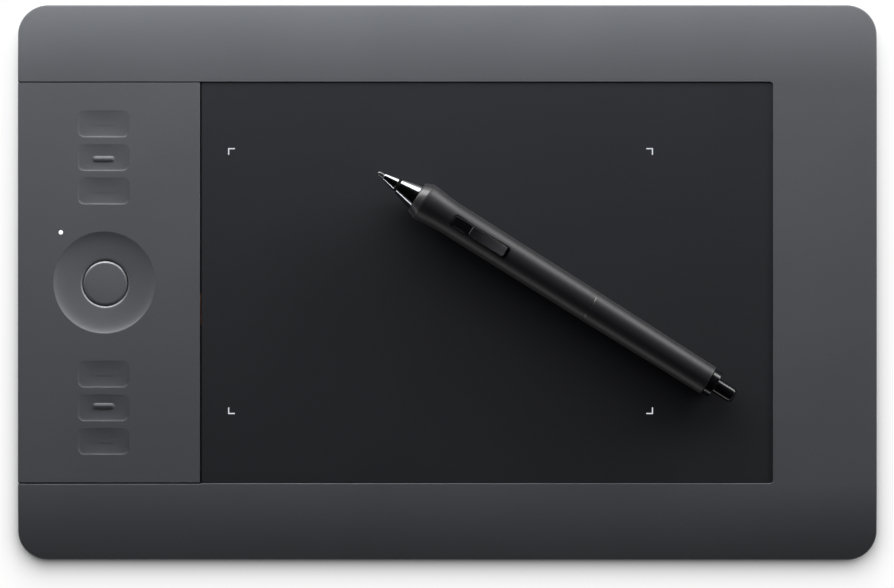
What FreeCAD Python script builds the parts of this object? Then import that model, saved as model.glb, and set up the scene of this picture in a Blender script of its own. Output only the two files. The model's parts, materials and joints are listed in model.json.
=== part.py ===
import FreeCAD, Part

import math
import os

# A pen tablet lying flat, with its pen resting on the working surface.
# Lengths are millimetres and angles are degrees.
# +X points right, +Y towards the rear edge and +Z up.
# The origin is the centre of the tablet's plan, on the plane that its feet stand on.

# Case
tablet_width = 320.0
tablet_depth = 207.0
tablet_height = 12.0
plan_corner_radius = 11.0
foot_stand_off = 0.8
parting_height = 5.0
shell_wall = 1.8
floor_thickness = 1.6
rim_round = 0.8
base_round = 2.5

# Front and rear bands of the bezel, which curve down from the flat top beside the surface
band_fall = 3.8

# Working surface, its carrier and the boards glued under it
surface_depth = 149.5
panel_width = 67.9
right_margin = 38.7
surface_thickness = 0.6
surface_recess = 0.4
surface_corner_radius = 1.3
surface_clearance = 0.1
carrier_thickness = 1.2
carrier_overlap = 2.0
touch_film_thickness = 0.2
sensor_board_thickness = 0.8
sensor_board_inset = 2.7
shield_thickness = 0.3
shield_front_setback = 6.0

# Lit corner marks of the active area
active_width = 158.3
active_depth = 99.1
active_left_margin = 10.4
active_offset_y = 0.55
mark_arm_length = 2.6
mark_arm_width = 0.5
light_well_side = 4.0
corner_led_size = (1.6, 0.8, 0.6)

# Control panel left of the surface
panel_gap = 0.25
ledge_thickness = 1.0
ledge_reach = 4.0

# Touch ring with its centre button
ring_offset_x = -1.625
ring_y = 0.0
ring_radius = 18.95
ring_sphere_depth = 1.6
ring_pan_depth = 2.7
ring_button_radius = 8.5
ring_button_gap = 0.2
ring_button_sink = 0.75
ring_button_crown = 0.25
ring_button_chamfer = 0.3
ring_button_flange = 1.0
ring_button_flange_thickness = 0.6
ring_lip_chamfer = 0.25
ring_electrode_thickness = 0.4
ring_electrode_margin = 0.9

# Shortcut keys, three above the ring and three below
key_length = 19.2
key_width = 10.1
key_corner_radius = 2.2
key_gap = 0.12
key_pitch = 12.5
key_group_shift = 0.25
key_offset_x = -1.925
key_dish_depth = 0.55
key_dish_margin = 0.25
key_flange = 0.8
key_flange_thickness = 0.8
key_travel = 0.4
key_bar_length = 8.8
key_bar_width = 2.4
key_bar_height = 0.55
stop_clearance = 0.1
stem_radius = 2.0

# Board of the keys and ring, with its wing along the left wall
key_board_inset = 13.0
key_board_side_gap = 12.15
key_board_end_gap = 5.6
key_board_drop = 5.1
key_board_thickness = 1.0
wing_inset = 3.0
wing_front_margin = 9.5
wing_rear_margin = 12.0
dome_side = 4.5
dome_height = 1.0
key_post_radius = 1.6
key_post_left_inset = 4.5
key_post_right_inset = 6.0
key_post_end_margin = 8.0
ring_post_inset = 3.7
ring_post_y = 24.0
light_offset_x = 16.2
light_offset_y = 18.7
light_radius = 0.9
light_clearance = 0.02
light_window_thickness = 0.4
ring_led_side = 1.8
ring_led_height = 0.7

# Socket and power slider in the left wall
socket_rear_inset = 24.75
socket_width = 7.6
socket_height = 2.7
socket_length = 7.0
socket_shell = 0.35
socket_recess = 0.5
socket_clearance = 0.2
slider_rear_inset = 49.25
slider_travel = 3.0
slider_pad_length = 5.0
slider_pad_height = 2.2
slider_pad_thickness = 0.7
slider_recess_depth = 0.9
slider_stem_width = 2.0
slider_stem_height = 1.2
slider_clearance = 0.3
slider_flush = 0.1
power_switch_length = 11.0
power_switch_depth = 4.0
power_switch_gap = 0.1
power_switch_inset = 4.6

# Main board and what stands on it
main_board_side_reach = 4.0
main_board_front_inset = 38.75
main_board_bay_gap = 8.0
main_board_thickness = 1.2
board_post_radius = 2.2
board_post_inset = 4.0
chips = ((50.0, 41.0, 12.0, 12.0, 1.2), (22.0, 48.0, 8.0, 8.0, 1.0),
         (78.0, 18.0, 5.0, 4.0, 1.0), (50.0, 22.0, 5.0, 3.2, 0.9))
ribbon_thickness = 0.3
ribbon_bend = 8.0
key_ribbon_y = -10.0
key_ribbon_width = 12.0
key_ribbon_drop = 0.6
sensor_ribbon_offset = 40.0
sensor_ribbon_width = 32.0
connector_depth = 4.0
connector_height = 1.6
connector_margin = 1.0

# Fasteners
case_screw_radius = 1.0
case_screw_head_radius = 1.9
case_screw_head_height = 1.2
case_screw_head_sink = 0.6
case_screw_tip_depth = 4.0
case_boss_radius = 3.0
panel_boss_radius = 2.6
screw_clearance = 0.05
screw_tip_clearance = 0.3
cover_screw_side_inset = 10.0
cover_screw_end_inset = 9.5
panel_screw_wall_inset = 6.5
panel_screw_end_margin = 8.6
panel_screw_side_gap = 7.15
panel_screw_inner_y = 40.0
board_screw_radius = 0.8
board_screw_head_radius = 1.5
board_screw_head_height = 0.7
board_screw_grip = 2.2

# Feet
foot_length = 26.0
foot_width = 9.0
foot_sink = 0.5
foot_side_inset = 24.0
foot_end_inset = 19.5

# Battery and wireless compartment in the underside, with one sliding cover
bay_side_inset = 43.0
bay_rear_inset = 15.5
bay_depth = 46.0
battery_bay_width = 64.0
module_bay_width = 27.4
bay_wall = 1.6
bay_roof = 1.0
bay_shield_gap = 0.3
bay_floor_slab = 1.5
cover_thickness = 1.4
cover_overlap = 1.5
cover_front_overlap = 3.5
cover_clearance = 0.15
cover_rail = 1.0
cover_rail_thickness = 0.8
cover_side_wall = 1.5
grip_slots = 3
grip_slot_length = 24.0
grip_slot_width = 1.2
grip_slot_depth = 0.4
grip_slot_pitch = 2.6
contact_block_width = 16.0
contact_block_height = 1.6
contact_head_room = 0.4
contact_block_depth = 13.8
contact_blades = 5
contact_blade_width = 1.2
contact_blade_thickness = 0.4
contact_blade_reach = 2.0
contact_clearance = 0.1
module_plug_width = 14.0
module_tongue_width = 10.0
module_tongue_thickness = 0.8

# Ribs of the bottom cover that back the boards
rib_side_gap = 7.1
rib_board_gap = 15.0
rib_thickness = 1.2
rib_rows = (-45.0, 20.0, 60.0)
rib_gap = 0.1

# Pen, measured along its axis from the tip of the nib
pen_tip_offset_x = -40.5
pen_tip_y = 40.95
pen_heading = -32.2
pen_length = 156.6
pen_rest_gap = 0.1
nib_radius = 0.95
nib_clearance = 0.15
nib_rear = 30.0
nib_travel = 0.5
nose_front = 2.7
nose_front_radius = 1.3
nose_ring_front = 8.45
nose_ring_rear = 9.15
nose_ring_sink = 0.3
nose_spigot_radius = 1.9
nose_spigot_rear = 12.0
nose_rear = 17.0
nose_rear_radius = 5.2
nose_socket_radius = 2.65
nose_plug_rear = 22.0
barrel_front = 17.1
barrel_front_radius = 5.75
barrel_nose_mid = 18.5
barrel_nose_mid_radius = 6.8
shoulder_place = 20.5
shoulder_radius = 7.3
waist_start = 24.5
waist_start_radius = 6.95
waist_mid = 28.0
waist_mid_radius = 6.55
grip_start = 31.5
grip_radius = 6.35
barrel_seam = 93.3
barrel_seam_gap = 0.15
barrel_seam_radius = 6.13
barrel_tail_reach = 11.4
barrel_rear_radius = 5.65
barrel_bore_radius = 4.4
barrel_edge_round = 0.25
carrier_clearance = 0.1
collar_gap = 0.2
collar_length = 3.1
collar_radius = 5.2
collar_edge_round = 0.4
collar_bore_radius = 3.2
collar_lip = 1.3
collar_chamber_radius = 3.8
collar_plug_length = 4.4
eraser_radius = 3.0
eraser_round = 1.4
eraser_seat_gap = 0.6
eraser_flange_radius = 3.6
eraser_flange_thickness = 0.8
eraser_shaft_radius = 1.6
eraser_shaft_length = 5.8
eraser_travel = 1.0
core_front = 12.5
core_rear = 26.0
core_bore_radius = 1.2
core_radius = 2.0
coil_front = 14.0
coil_rear = 25.0
coil_radius = 2.5
tip_sensor_front = 30.7
tip_sensor_length = 3.0
sensor_radius = 2.4
sensor_clearance = 0.05
tray_ring_front = 22.2
tray_ring_rear = 28.0
tray_tail_gap = 1.5
tray_rear_ring_length = 5.5
tray_top = -1.0
eraser_sensor_gap = 1.2
pen_board_front = 34.5
pen_board_rear = 98.0
pen_board_width = 7.0
pen_board_thickness = 1.0
switch_front = 32.7
switch_length = 24.5
switch_width = 5.0
switch_corner_radius = 0.9
switch_slot_bottom = 3.0
surround_bottom = 4.2
surround_side = 0.4
surround_end = 0.35
pad_gap_side = 0.15
pad_gap_end = 0.3
pad_rear_gap = 1.1
pad_top = 6.8
front_pad_top = 6.55
pad_bottom = 5.2
pad_division = 40.6
pad_division_gap = 0.1
pad_edge_round = 0.3
rocker_inset = 0.35
rocker_bottom = 3.9
rocker_width = 3.6
rocker_pivot_z = 4.7
rocker_pin_radius = 0.45
rocker_pin_clearance = 0.08
rocker_swing = 2.5
rocker_nub_radius = 0.7
rocker_nub_inset = 2.4
rocker_nub_bottom = 1.7
pen_dome_side = 2.6
pen_dome_height = 1.2

# Sizes worked out from those above
half_width = tablet_width / 2
half_depth = tablet_depth / 2
seam_y = surface_depth / 2
band_depth = half_depth - seam_y
band_radius = (band_depth ** 2 + band_fall ** 2) / (2 * band_fall)
skin_bottom = tablet_height - shell_wall
floor_top = foot_stand_off + floor_thickness
surface_left = panel_width - half_width
surface_right = half_width - right_margin
surface_centre_x = (surface_left + surface_right) / 2
active_centre_x = surface_left + active_left_margin + active_width / 2
active_centre_y = active_offset_y
panel_right = surface_left - panel_gap
panel_half_depth = seam_y - panel_gap / 2
panel_centre_x = (panel_right - half_width) / 2
ring_x = panel_centre_x + ring_offset_x
ring_floor_bottom = tablet_height - ring_pan_depth
ring_button_top = tablet_height - ring_button_sink
key_x = panel_centre_x + key_offset_x
key_middle_y = (seam_y + ring_radius) / 2 - key_group_shift
key_board_left = key_board_inset - half_width
key_board_right = panel_right - key_board_side_gap
key_board_half_depth = panel_half_depth - key_board_end_gap
key_board_top = tablet_height - key_board_drop
wing_left = wing_inset - half_width
power_switch_x = power_switch_inset - half_width
socket_y = seam_y - socket_rear_inset
slider_y = seam_y - slider_rear_inset
wing_front = slider_y - wing_front_margin
wing_rear = socket_y + wing_rear_margin
ring_sphere_radius = (ring_radius ** 2 + ring_sphere_depth ** 2) / (2 * ring_sphere_depth)
surface_top = tablet_height - surface_recess
surface_bottom = surface_top - surface_thickness
carrier_bottom = surface_bottom - carrier_thickness
film_bottom = carrier_bottom - touch_film_thickness
sensor_bottom = film_bottom - sensor_board_thickness
shield_bottom = sensor_bottom - shield_thickness
stem_bottom = key_board_top + dome_height + key_travel + stop_clearance / 2
bay_ceiling = shield_bottom - bay_shield_gap - bay_roof
board_top = bay_ceiling - contact_head_room - contact_block_height
main_board_bottom = board_top - main_board_thickness
bay_rear = half_depth - bay_rear_inset
bay_front = bay_rear - bay_depth
bay_right = half_width - bay_side_inset
module_bay_left = bay_right - module_bay_width
bay_left = module_bay_left - bay_wall - battery_bay_width
main_board_left = bay_left - main_board_side_reach
main_board_right = bay_right
main_board_rear = bay_front - main_board_bay_gap
main_board_front = main_board_front_inset - seam_y
sensor_ribbon_x = main_board_left + sensor_ribbon_offset
key_ribbon_run_z = shield_bottom - key_ribbon_drop
rib_left = surface_left + rib_side_gap
rib_right = main_board_left - rib_board_gap
case_screw_tip_height = tablet_height - case_screw_tip_depth
cover_top = foot_stand_off + cover_thickness
recess_top = cover_top + cover_clearance
cover_left = bay_left - cover_overlap
cover_right = bay_right + cover_overlap
cover_front = bay_front - cover_front_overlap
power_switch_z = key_board_top + slider_pad_height / 2
switch_rear = switch_front + switch_length
barrel_rear = pen_length - barrel_tail_reach
collar_front = barrel_rear + collar_gap
collar_rear = collar_front + collar_length
collar_plug_front = collar_front - collar_plug_length
eraser_front = collar_front + eraser_seat_gap
eraser_shaft_front = eraser_front - eraser_shaft_length
tray_rear = collar_plug_front - tray_tail_gap
tray_rear_ring = tray_rear - tray_rear_ring_length
eraser_sensor_rear = eraser_shaft_front - eraser_sensor_gap
overshoot = 1.0


# Places of fasteners

def cover_screw_places():
    """Screws of the bezel: at the corners and midway along the front and rear."""
    side = half_width - cover_screw_side_inset
    end = half_depth - cover_screw_end_inset
    return [(x, y) for y in (end, -end) for x in (-side, 0, side)]


def panel_screw_places():
    """Screws of the control panel: two beside its wall and two beside the surface."""
    wall_x = panel_screw_wall_inset - half_width
    inner_x = panel_right - panel_screw_side_gap
    end = panel_half_depth - panel_screw_end_margin
    return [(wall_x, end), (wall_x, -end), (inner_x, panel_screw_inner_y), (inner_x, -panel_screw_inner_y)]


def key_post_places():
    """Posts of the control panel that carry the key board."""
    end = panel_half_depth - key_post_end_margin
    columns = (key_board_left + key_post_left_inset, key_board_right - key_post_right_inset)
    corners = [(x, y) for x in columns for y in (end, -end)]
    return corners + [(key_board_right - ring_post_inset, y) for y in (ring_post_y, -ring_post_y)]


# Plain shapes

def box(x0, x1, y0, y1, z0, z1):
    """Block between opposite corners."""
    return Part.makeBox(x1 - x0, y1 - y0, z1 - z0, FreeCAD.Vector(x0, y0, z0))


def centred_box(x, y, length, width, z0, z1):
    """Block centred on a point of the plan."""
    return box(x - length / 2, x + length / 2, y - width / 2, y + width / 2, z0, z1)


def post(x, y, radius, z0, z1):
    """Upright cylinder."""
    return Part.makeCylinder(radius, z1 - z0, FreeCAD.Vector(x, y, z0))


def rounded_prism(x0, x1, y0, y1, z0, z1, radius):
    """Upright prism with a rounded rectangle for its plan."""
    block = box(x0, x1, y0, y1, z0, z1)
    upright = [edge for edge in block.Edges if edge.BoundBox.ZLength > (z1 - z0) / 2]
    return block.makeFillet(radius, upright)


def centred_prism(x, y, length, width, z0, z1, radius):
    """Rounded prism centred on a point of the plan."""
    return rounded_prism(x - length / 2, x + length / 2, y - width / 2, y + width / 2, z0, z1, radius)


def fused(shapes):
    """One solid from shapes that meet."""
    return shapes[0].multiFuse(shapes[1:]).removeSplitter()


def compound(shapes):
    """Separate solids kept as one group."""
    return Part.makeCompound(shapes)


def ribbon(points, width, across):
    """Flat cable through points given as (run, height), with the run along X or Y."""
    half = ribbon_thickness / 2
    upper = [(run, height + half) for run, height in points]
    lower = [(run, height - half) for run, height in reversed(points)]
    outline = upper + lower + upper[:1]
    if across == "Y":
        corners = [FreeCAD.Vector(run, -width / 2, height) for run, height in outline]
        push = FreeCAD.Vector(0, width, 0)
    else:
        corners = [FreeCAD.Vector(-width / 2, run, height) for run, height in outline]
        push = FreeCAD.Vector(width, 0, 0)
    return Part.Face(Part.makePolygon(corners)).extrude(push)


# Case blocks

def band_height(distance, inset):
    """Height of the skin at a distance outside the seam, for a skin set in by inset."""
    return tablet_height - band_radius + math.sqrt((band_radius - inset) ** 2 - distance ** 2)


def case_section(inset, low):
    """Section of the case across its depth, from a low level to the curved top."""
    edge_y = half_depth - inset
    top = tablet_height - inset
    edge_z = band_height(band_depth - inset, inset)
    mid_z = band_height((band_depth - inset) / 2, inset)
    mid_y = seam_y + (band_depth - inset) / 2
    x = -half_width - overshoot

    def at(y, z):
        return FreeCAD.Vector(x, y, z)

    outline = [
        Part.LineSegment(at(-edge_y, low), at(edge_y, low)),
        Part.LineSegment(at(edge_y, low), at(edge_y, edge_z)),
        Part.Arc(at(edge_y, edge_z), at(mid_y, mid_z), at(seam_y, top)),
        Part.LineSegment(at(seam_y, top), at(-seam_y, top)),
        Part.Arc(at(-seam_y, top), at(-mid_y, mid_z), at(-edge_y, edge_z)),
        Part.LineSegment(at(-edge_y, edge_z), at(-edge_y, low)),
    ]
    wire = Part.Wire([piece.toShape() for piece in outline])
    return Part.Face(wire).extrude(FreeCAD.Vector(tablet_width + 2 * overshoot, 0, 0))


def plan_prism(inset, z0, z1):
    """Prism of the tablet's plan, set in from its edge."""
    return rounded_prism(inset - half_width, half_width - inset, inset - half_depth, half_depth - inset,
                         z0, z1, plan_corner_radius - inset)


def upper_block():
    """Outer form above the parting line, with its rounded rim."""
    block = plan_prism(0, parting_height, tablet_height + overshoot).common(case_section(0, parting_height))
    rim = []
    for edge in block.Edges:
        bounds = edge.BoundBox
        upright = bounds.XLength + bounds.YLength < rim_round
        seam = bounds.XLength > tablet_width / 2 and bounds.ZMin > tablet_height - rim_round
        if bounds.ZMin > parting_height + rim_round and not upright and not seam:
            rim.append(edge)
    return block.makeFillet(rim_round, rim)


def upper_hollow():
    """Space inside the upper skin."""
    low = parting_height - overshoot
    return plan_prism(shell_wall, low, tablet_height).common(case_section(shell_wall, low))


def lower_block():
    """Outer form below the parting line, with its rounded base."""
    block = plan_prism(0, foot_stand_off, parting_height)
    base = [edge for edge in block.Edges if edge.BoundBox.ZMax < foot_stand_off + base_round / 2]
    return block.makeFillet(base_round, base)


# Working surface and the layers under it

def mark_corners():
    """Outer corner of each lit mark with the directions of its arms."""
    corners = []
    for side_x in (-1, 1):
        for side_y in (-1, 1):
            x = active_centre_x + side_x * active_width / 2
            y = active_centre_y + side_y * active_depth / 2
            corners.append((x, y, -side_x, -side_y))
    return corners


def span(start, step):
    """Ordered pair that runs from a start by a signed step."""
    return min(start, start + step), max(start, start + step)


def corner_marks(z0, z1):
    """The four lit marks, each an angle of two thin arms."""
    marks = []
    for x, y, way_x, way_y in mark_corners():
        long_x = span(x, way_x * mark_arm_length)
        thin_x = span(x, way_x * mark_arm_width)
        long_y = span(y, way_y * mark_arm_length)
        thin_y = span(y, way_y * mark_arm_width)
        marks.append(fused([box(*long_x, *thin_y, z0, z1), box(*thin_x, *long_y, z0, z1)]))
    return marks


def light_wells(z0, z1):
    """Square shafts that let each corner light reach its mark."""
    inward = mark_arm_length / 2
    return [centred_box(x + way_x * inward, y + way_y * inward, light_well_side, light_well_side, z0, z1)
            for x, y, way_x, way_y in mark_corners()]


def surface_sheet():
    """Textured drawing sheet with a window for each corner mark."""
    sheet = rounded_prism(surface_left, surface_right, -seam_y, seam_y, surface_bottom, surface_top,
                          surface_corner_radius)
    return sheet.cut(compound(corner_marks(surface_bottom, surface_top)))


def sensor_layer(bottom, top, front):
    """Flat layer as wide as the pen sensor, from a front edge to its rear edge."""
    left = surface_left + sensor_board_inset
    right = surface_right - sensor_board_inset
    return box(left, right, front, seam_y - sensor_board_inset, bottom, top)


def touch_film():
    """Touch film between the carrier and the pen sensor."""
    front = sensor_board_inset - seam_y
    wells = compound(light_wells(film_bottom, carrier_bottom))
    return sensor_layer(film_bottom, carrier_bottom, front).cut(wells)


def corner_leds():
    """One small light under each corner mark."""
    length, width, height = corner_led_size
    inward = mark_arm_length / 2
    return compound([centred_box(x + way_x * inward, y + way_y * inward, length, width,
                                 film_bottom, film_bottom + height)
                     for x, y, way_x, way_y in mark_corners()])


def surface_parts():
    """Drawing sheet, marks and the layers of the pen sensor."""
    front = sensor_board_inset - seam_y
    return {
        "surface_sheet": surface_sheet(),
        "corner_marks": compound(corner_marks(surface_bottom, surface_top)),
        "corner_leds": corner_leds(),
        "touch_film": touch_film(),
        "pen_sensor_board": sensor_layer(sensor_bottom, film_bottom, front),
        "shield_plate": sensor_layer(shield_bottom, sensor_bottom, front + shield_front_setback),
    }


# Bezel

def case_boss(x, y, radius, form):
    """Screw boss that hangs from the skin down to the parting line."""
    boss = post(x, y, radius, parting_height, tablet_height).common(form)
    return boss.cut(screw_pilot(x, y))


def screw_pilot(x, y):
    """Blind hole that the case screw drives into."""
    return post(x, y, case_screw_radius + screw_clearance, parting_height - overshoot,
                case_screw_tip_height + screw_tip_clearance)


def panel_ledges():
    """Ledges of the bezel that the control panel's edges rest on."""
    left = shell_wall + panel_gap - half_width
    top = skin_bottom
    bottom = top - ledge_thickness
    outer = seam_y + carrier_overlap
    root_top = top + shell_wall / 4
    pieces = []
    for side in (-1, 1):
        shelf = span(side * outer, side * (seam_y - ledge_reach - outer))
        root = span(side * outer, side * (seam_y + panel_gap - outer))
        pieces.append(box(left, surface_left, *shelf, bottom, top))
        pieces.append(box(left, surface_left, *root, bottom, root_top))
    side_shelf = box(panel_right - ledge_reach, surface_left + carrier_overlap, -outer, outer, bottom, top)
    return pieces + [side_shelf]


def top_cover(form, hollow):
    """Bezel in one piece: rear band, right margin, front band and the carrier of the surface."""
    skin = form.cut(hollow)
    opening_half = seam_y + panel_gap / 2
    panel_opening = box(-half_width - overshoot, surface_left, -opening_half, opening_half,
                        parting_height - overshoot, tablet_height + overshoot)
    pocket = rounded_prism(surface_left - surface_clearance, surface_right + surface_clearance,
                           -seam_y - surface_clearance, seam_y + surface_clearance,
                           surface_bottom, tablet_height + overshoot, surface_corner_radius)
    carrier = box(surface_left, surface_right + carrier_overlap, -seam_y - carrier_overlap,
                  seam_y + carrier_overlap, carrier_bottom, surface_bottom)
    bosses = [case_boss(x, y, case_boss_radius, form) for x, y in cover_screw_places()]
    skin = skin.cut(panel_opening).cut(pocket)
    skin = fused([skin, carrier] + panel_ledges() + bosses)
    pilots = [screw_pilot(x, y) for x, y in cover_screw_places()]
    return skin.cut(compound(light_wells(carrier_bottom - overshoot, surface_bottom) + pilots))


# Control panel, keys and ring

def key_places():
    """Number, centre height on the panel and bar flag of each shortcut key, from the rear."""
    places = []
    for group in (1, -1):
        for step in (1, 0, -1):
            places.append((group * key_middle_y + step * key_pitch, step == 0))
    return places


def ring_floor_height(radius):
    """Height of the ring's dished skin at a distance from its centre."""
    centre = tablet_height - ring_sphere_depth + ring_sphere_radius
    return centre - math.sqrt(ring_sphere_radius ** 2 - radius ** 2)


def ring_cuts():
    """Dish, button hole and chamfered lip of the touch ring."""
    centre = FreeCAD.Vector(ring_x, ring_y, tablet_height - ring_sphere_depth + ring_sphere_radius)
    dish = Part.makeSphere(ring_sphere_radius, centre).common(
        post(ring_x, ring_y, ring_radius + overshoot, ring_floor_bottom, tablet_height + overshoot))
    hole_radius = ring_button_radius + ring_button_gap
    hole = post(ring_x, ring_y, hole_radius, ring_floor_bottom - overshoot, tablet_height)
    lip_z = ring_floor_height(hole_radius) - ring_lip_chamfer
    lip = Part.makeCone(hole_radius, hole_radius + 2 * ring_lip_chamfer, 2 * ring_lip_chamfer,
                        FreeCAD.Vector(ring_x, ring_y, lip_z))
    return [dish, hole, lip]


def light_places():
    """Centre of each light around the ring, the lit one first."""
    return [(ring_x + side_x * light_offset_x, ring_y + side_y * light_offset_y)
            for side_x, side_y in ((-1, 1), (1, 1), (-1, -1), (1, -1))]


def wall_cuts():
    """Openings of the socket and the power slider in the left wall."""
    inside = -half_width + shell_wall + overshoot
    outside = -half_width - overshoot
    mouth_half = socket_width / 2 + socket_clearance
    socket = box(outside, inside, socket_y - mouth_half, socket_y + mouth_half,
                 key_board_top - socket_clearance, key_board_top + socket_height + socket_clearance)
    reach = slider_travel / 2 + slider_clearance
    recess_half = slider_pad_length / 2 + reach + slider_clearance
    recess = box(outside, -half_width + slider_recess_depth, slider_y - recess_half, slider_y + recess_half,
                 power_switch_z - slider_pad_height / 2 - slider_clearance,
                 power_switch_z + slider_pad_height / 2 + slider_clearance)
    slot_half = slider_stem_width / 2 + reach
    slot = box(outside, inside, slider_y - slot_half, slider_y + slot_half,
               power_switch_z - slider_stem_height / 2 - slider_clearance / 2,
               power_switch_z + slider_stem_height / 2 + slider_clearance / 2)
    return [socket, recess, slot]


def control_panel(form, hollow):
    """Left panel with the ring's dish, key openings, board posts and its side wall."""
    region = box(-half_width - overshoot, panel_right, -panel_half_depth, panel_half_depth,
                 parting_height - overshoot, tablet_height + overshoot)
    skin = form.cut(hollow).common(region)
    pan = post(ring_x, ring_y, ring_radius + shell_wall / 2, ring_floor_bottom, skin_bottom + shell_wall / 2)
    posts = [post(x, y, key_post_radius, key_board_top, skin_bottom + shell_wall / 2)
             for x, y in key_post_places()]
    bosses = [case_boss(x, y, panel_boss_radius, form) for x, y in panel_screw_places()]
    skin = fused([skin, pan] + posts + bosses)
    holes = [centred_prism(key_x, y, key_length, key_width, skin_bottom - overshoot,
                           tablet_height + overshoot, key_corner_radius) for y, barred in key_places()]
    lights = [post(x, y, light_radius + light_clearance, skin_bottom - overshoot, tablet_height + overshoot)
              for x, y in light_places()]
    pilots = [screw_pilot(x, y) for x, y in panel_screw_places()]
    threads = [post(x, y, board_screw_radius + screw_clearance, key_board_top - overshoot,
                    key_board_top + board_screw_grip + screw_tip_clearance) for x, y in key_post_places()]
    return skin.cut(compound(ring_cuts() + wall_cuts() + holes + lights + pilots + threads))


def key_dish(y):
    """Hollow of a key's top: the space over two shallow troughs that cross."""
    length = key_length - 2 * (key_gap + key_dish_margin)
    width = key_width - 2 * (key_gap + key_dish_margin)
    radius_long = (length ** 2 / 4 + key_dish_depth ** 2) / (2 * key_dish_depth)
    radius_wide = (width ** 2 / 4 + key_dish_depth ** 2) / (2 * key_dish_depth)
    bottom = tablet_height - key_dish_depth
    along = Part.makeCylinder(radius_wide, key_length, FreeCAD.Vector(key_x - key_length / 2, y,
                              bottom + radius_wide), FreeCAD.Vector(1, 0, 0))
    across = Part.makeCylinder(radius_long, key_length, FreeCAD.Vector(key_x, y - key_length / 2,
                               bottom + radius_long), FreeCAD.Vector(0, 1, 0))
    return along.common(across)


def key_bar(y):
    """Raised rounded bar in the dish of a middle key."""
    radius = (key_bar_width ** 2 / 4 + key_bar_height ** 2) / (2 * key_bar_height)
    floor = tablet_height - key_dish_depth
    crest = floor + key_bar_height
    ridge = Part.makeCylinder(radius, key_bar_length, FreeCAD.Vector(key_x - key_bar_length / 2, y,
                              crest - radius), FreeCAD.Vector(1, 0, 0))
    outline = centred_prism(key_x, y, key_bar_length, key_bar_width, floor - key_dish_depth / 2, crest,
                            key_bar_width / 2.1)
    return ridge.common(outline)


def shortcut_key(y, barred):
    """Dished key cap with the flange that keeps it in and the stem that presses its dome."""
    cap_bottom = skin_bottom - stop_clearance
    cap = centred_prism(key_x, y, key_length - 2 * key_gap, key_width - 2 * key_gap, cap_bottom,
                        tablet_height, key_corner_radius - key_gap).cut(key_dish(y))
    flange_bottom = cap_bottom - key_flange_thickness
    flange = centred_prism(key_x, y, key_length + 2 * key_flange, key_width + 2 * key_flange, flange_bottom,
                           cap_bottom, key_corner_radius + key_flange)
    stem = post(key_x, y, stem_radius, stem_bottom, flange_bottom)
    pieces = [cap, flange, stem]
    if barred:
        pieces.append(key_bar(y))
    return fused(pieces)


def ring_button():
    """Round centre button of the touch ring with its flange and stem."""
    flange_top = ring_floor_bottom - stop_clearance
    crown_radius = (ring_button_radius ** 2 + ring_button_crown ** 2) / (2 * ring_button_crown)
    cap = post(ring_x, ring_y, ring_button_radius, flange_top, ring_button_top)
    rim = [edge for edge in cap.Edges if edge.BoundBox.ZMin > ring_button_top - ring_button_chamfer]
    dome = Part.makeSphere(crown_radius, FreeCAD.Vector(ring_x, ring_y, ring_button_top - crown_radius))
    cap = cap.makeChamfer(ring_button_chamfer, rim).common(dome)
    flange_bottom = flange_top - ring_button_flange_thickness
    flange = post(ring_x, ring_y, ring_button_radius + ring_button_flange, flange_bottom, flange_top)
    stem = post(ring_x, ring_y, stem_radius, stem_bottom, flange_bottom)
    return fused([cap, flange, stem])


def key_board():
    """Board under the control panel, with its wing to the socket and the power switch."""
    bottom = key_board_top - key_board_thickness
    main = box(key_board_left, key_board_right, -key_board_half_depth, key_board_half_depth, bottom,
               key_board_top)
    wing = box(wing_left, key_board_left, wing_front, wing_rear, bottom, key_board_top)
    holes = [post(x, y, board_screw_radius + screw_clearance, bottom - overshoot, key_board_top + overshoot)
             for x, y in key_post_places()]
    return fused([main, wing]).cut(compound(holes))


def ring_electrode():
    """Touch electrode glued under the ring's dish."""
    inner = ring_button_radius + ring_button_flange + ring_electrode_margin
    outer = ring_radius - ring_electrode_margin
    bottom = ring_floor_bottom - ring_electrode_thickness
    return post(ring_x, ring_y, outer, bottom, ring_floor_bottom).cut(
        post(ring_x, ring_y, inner, bottom, ring_floor_bottom))


def key_domes():
    """Seven press domes, one under each key and one under the ring's button."""
    places = [(key_x, y) for y, barred in key_places()] + [(ring_x, ring_y)]
    return compound([centred_box(x, y, dome_side, dome_side, key_board_top, key_board_top + dome_height)
                     for x, y in places])


def light_pieces(places, z0, z1):
    """Round light guides at the given places."""
    return compound([post(x, y, light_radius, z0, z1) for x, y in places])


def usb_socket():
    """Socket for the lead: a shell open to the left with its contact tongue."""
    left = -half_width + socket_recess
    top = key_board_top + socket_height
    shell = box(left, left + socket_length, socket_y - socket_width / 2, socket_y + socket_width / 2,
                key_board_top, top)
    mouth = box(left - overshoot, left + socket_length - 2 * socket_shell,
                socket_y - socket_width / 2 + socket_shell, socket_y + socket_width / 2 - socket_shell,
                key_board_top + socket_shell, top - socket_shell)
    tongue = box(left + 2 * socket_shell, left + socket_length - socket_shell, socket_y - socket_width / 4,
                 socket_y + socket_width / 4, top - 3 * socket_shell, top - 2 * socket_shell)
    return fused([shell.cut(mouth), tongue])


def power_slider():
    """Finger pad and stem of the power slider, at the front end of its travel."""
    y = slider_y - slider_travel / 2
    outer = -half_width + slider_flush
    pad_inner = outer + slider_pad_thickness
    pad = box(outer, pad_inner, y - slider_pad_length / 2, y + slider_pad_length / 2,
              power_switch_z - slider_pad_height / 2, power_switch_z + slider_pad_height / 2)
    stem = box(pad_inner, power_switch_x - power_switch_gap, y - slider_stem_width / 2,
               y + slider_stem_width / 2, power_switch_z - slider_stem_height / 2,
               power_switch_z + slider_stem_height / 2)
    return fused([pad, stem])


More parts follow.
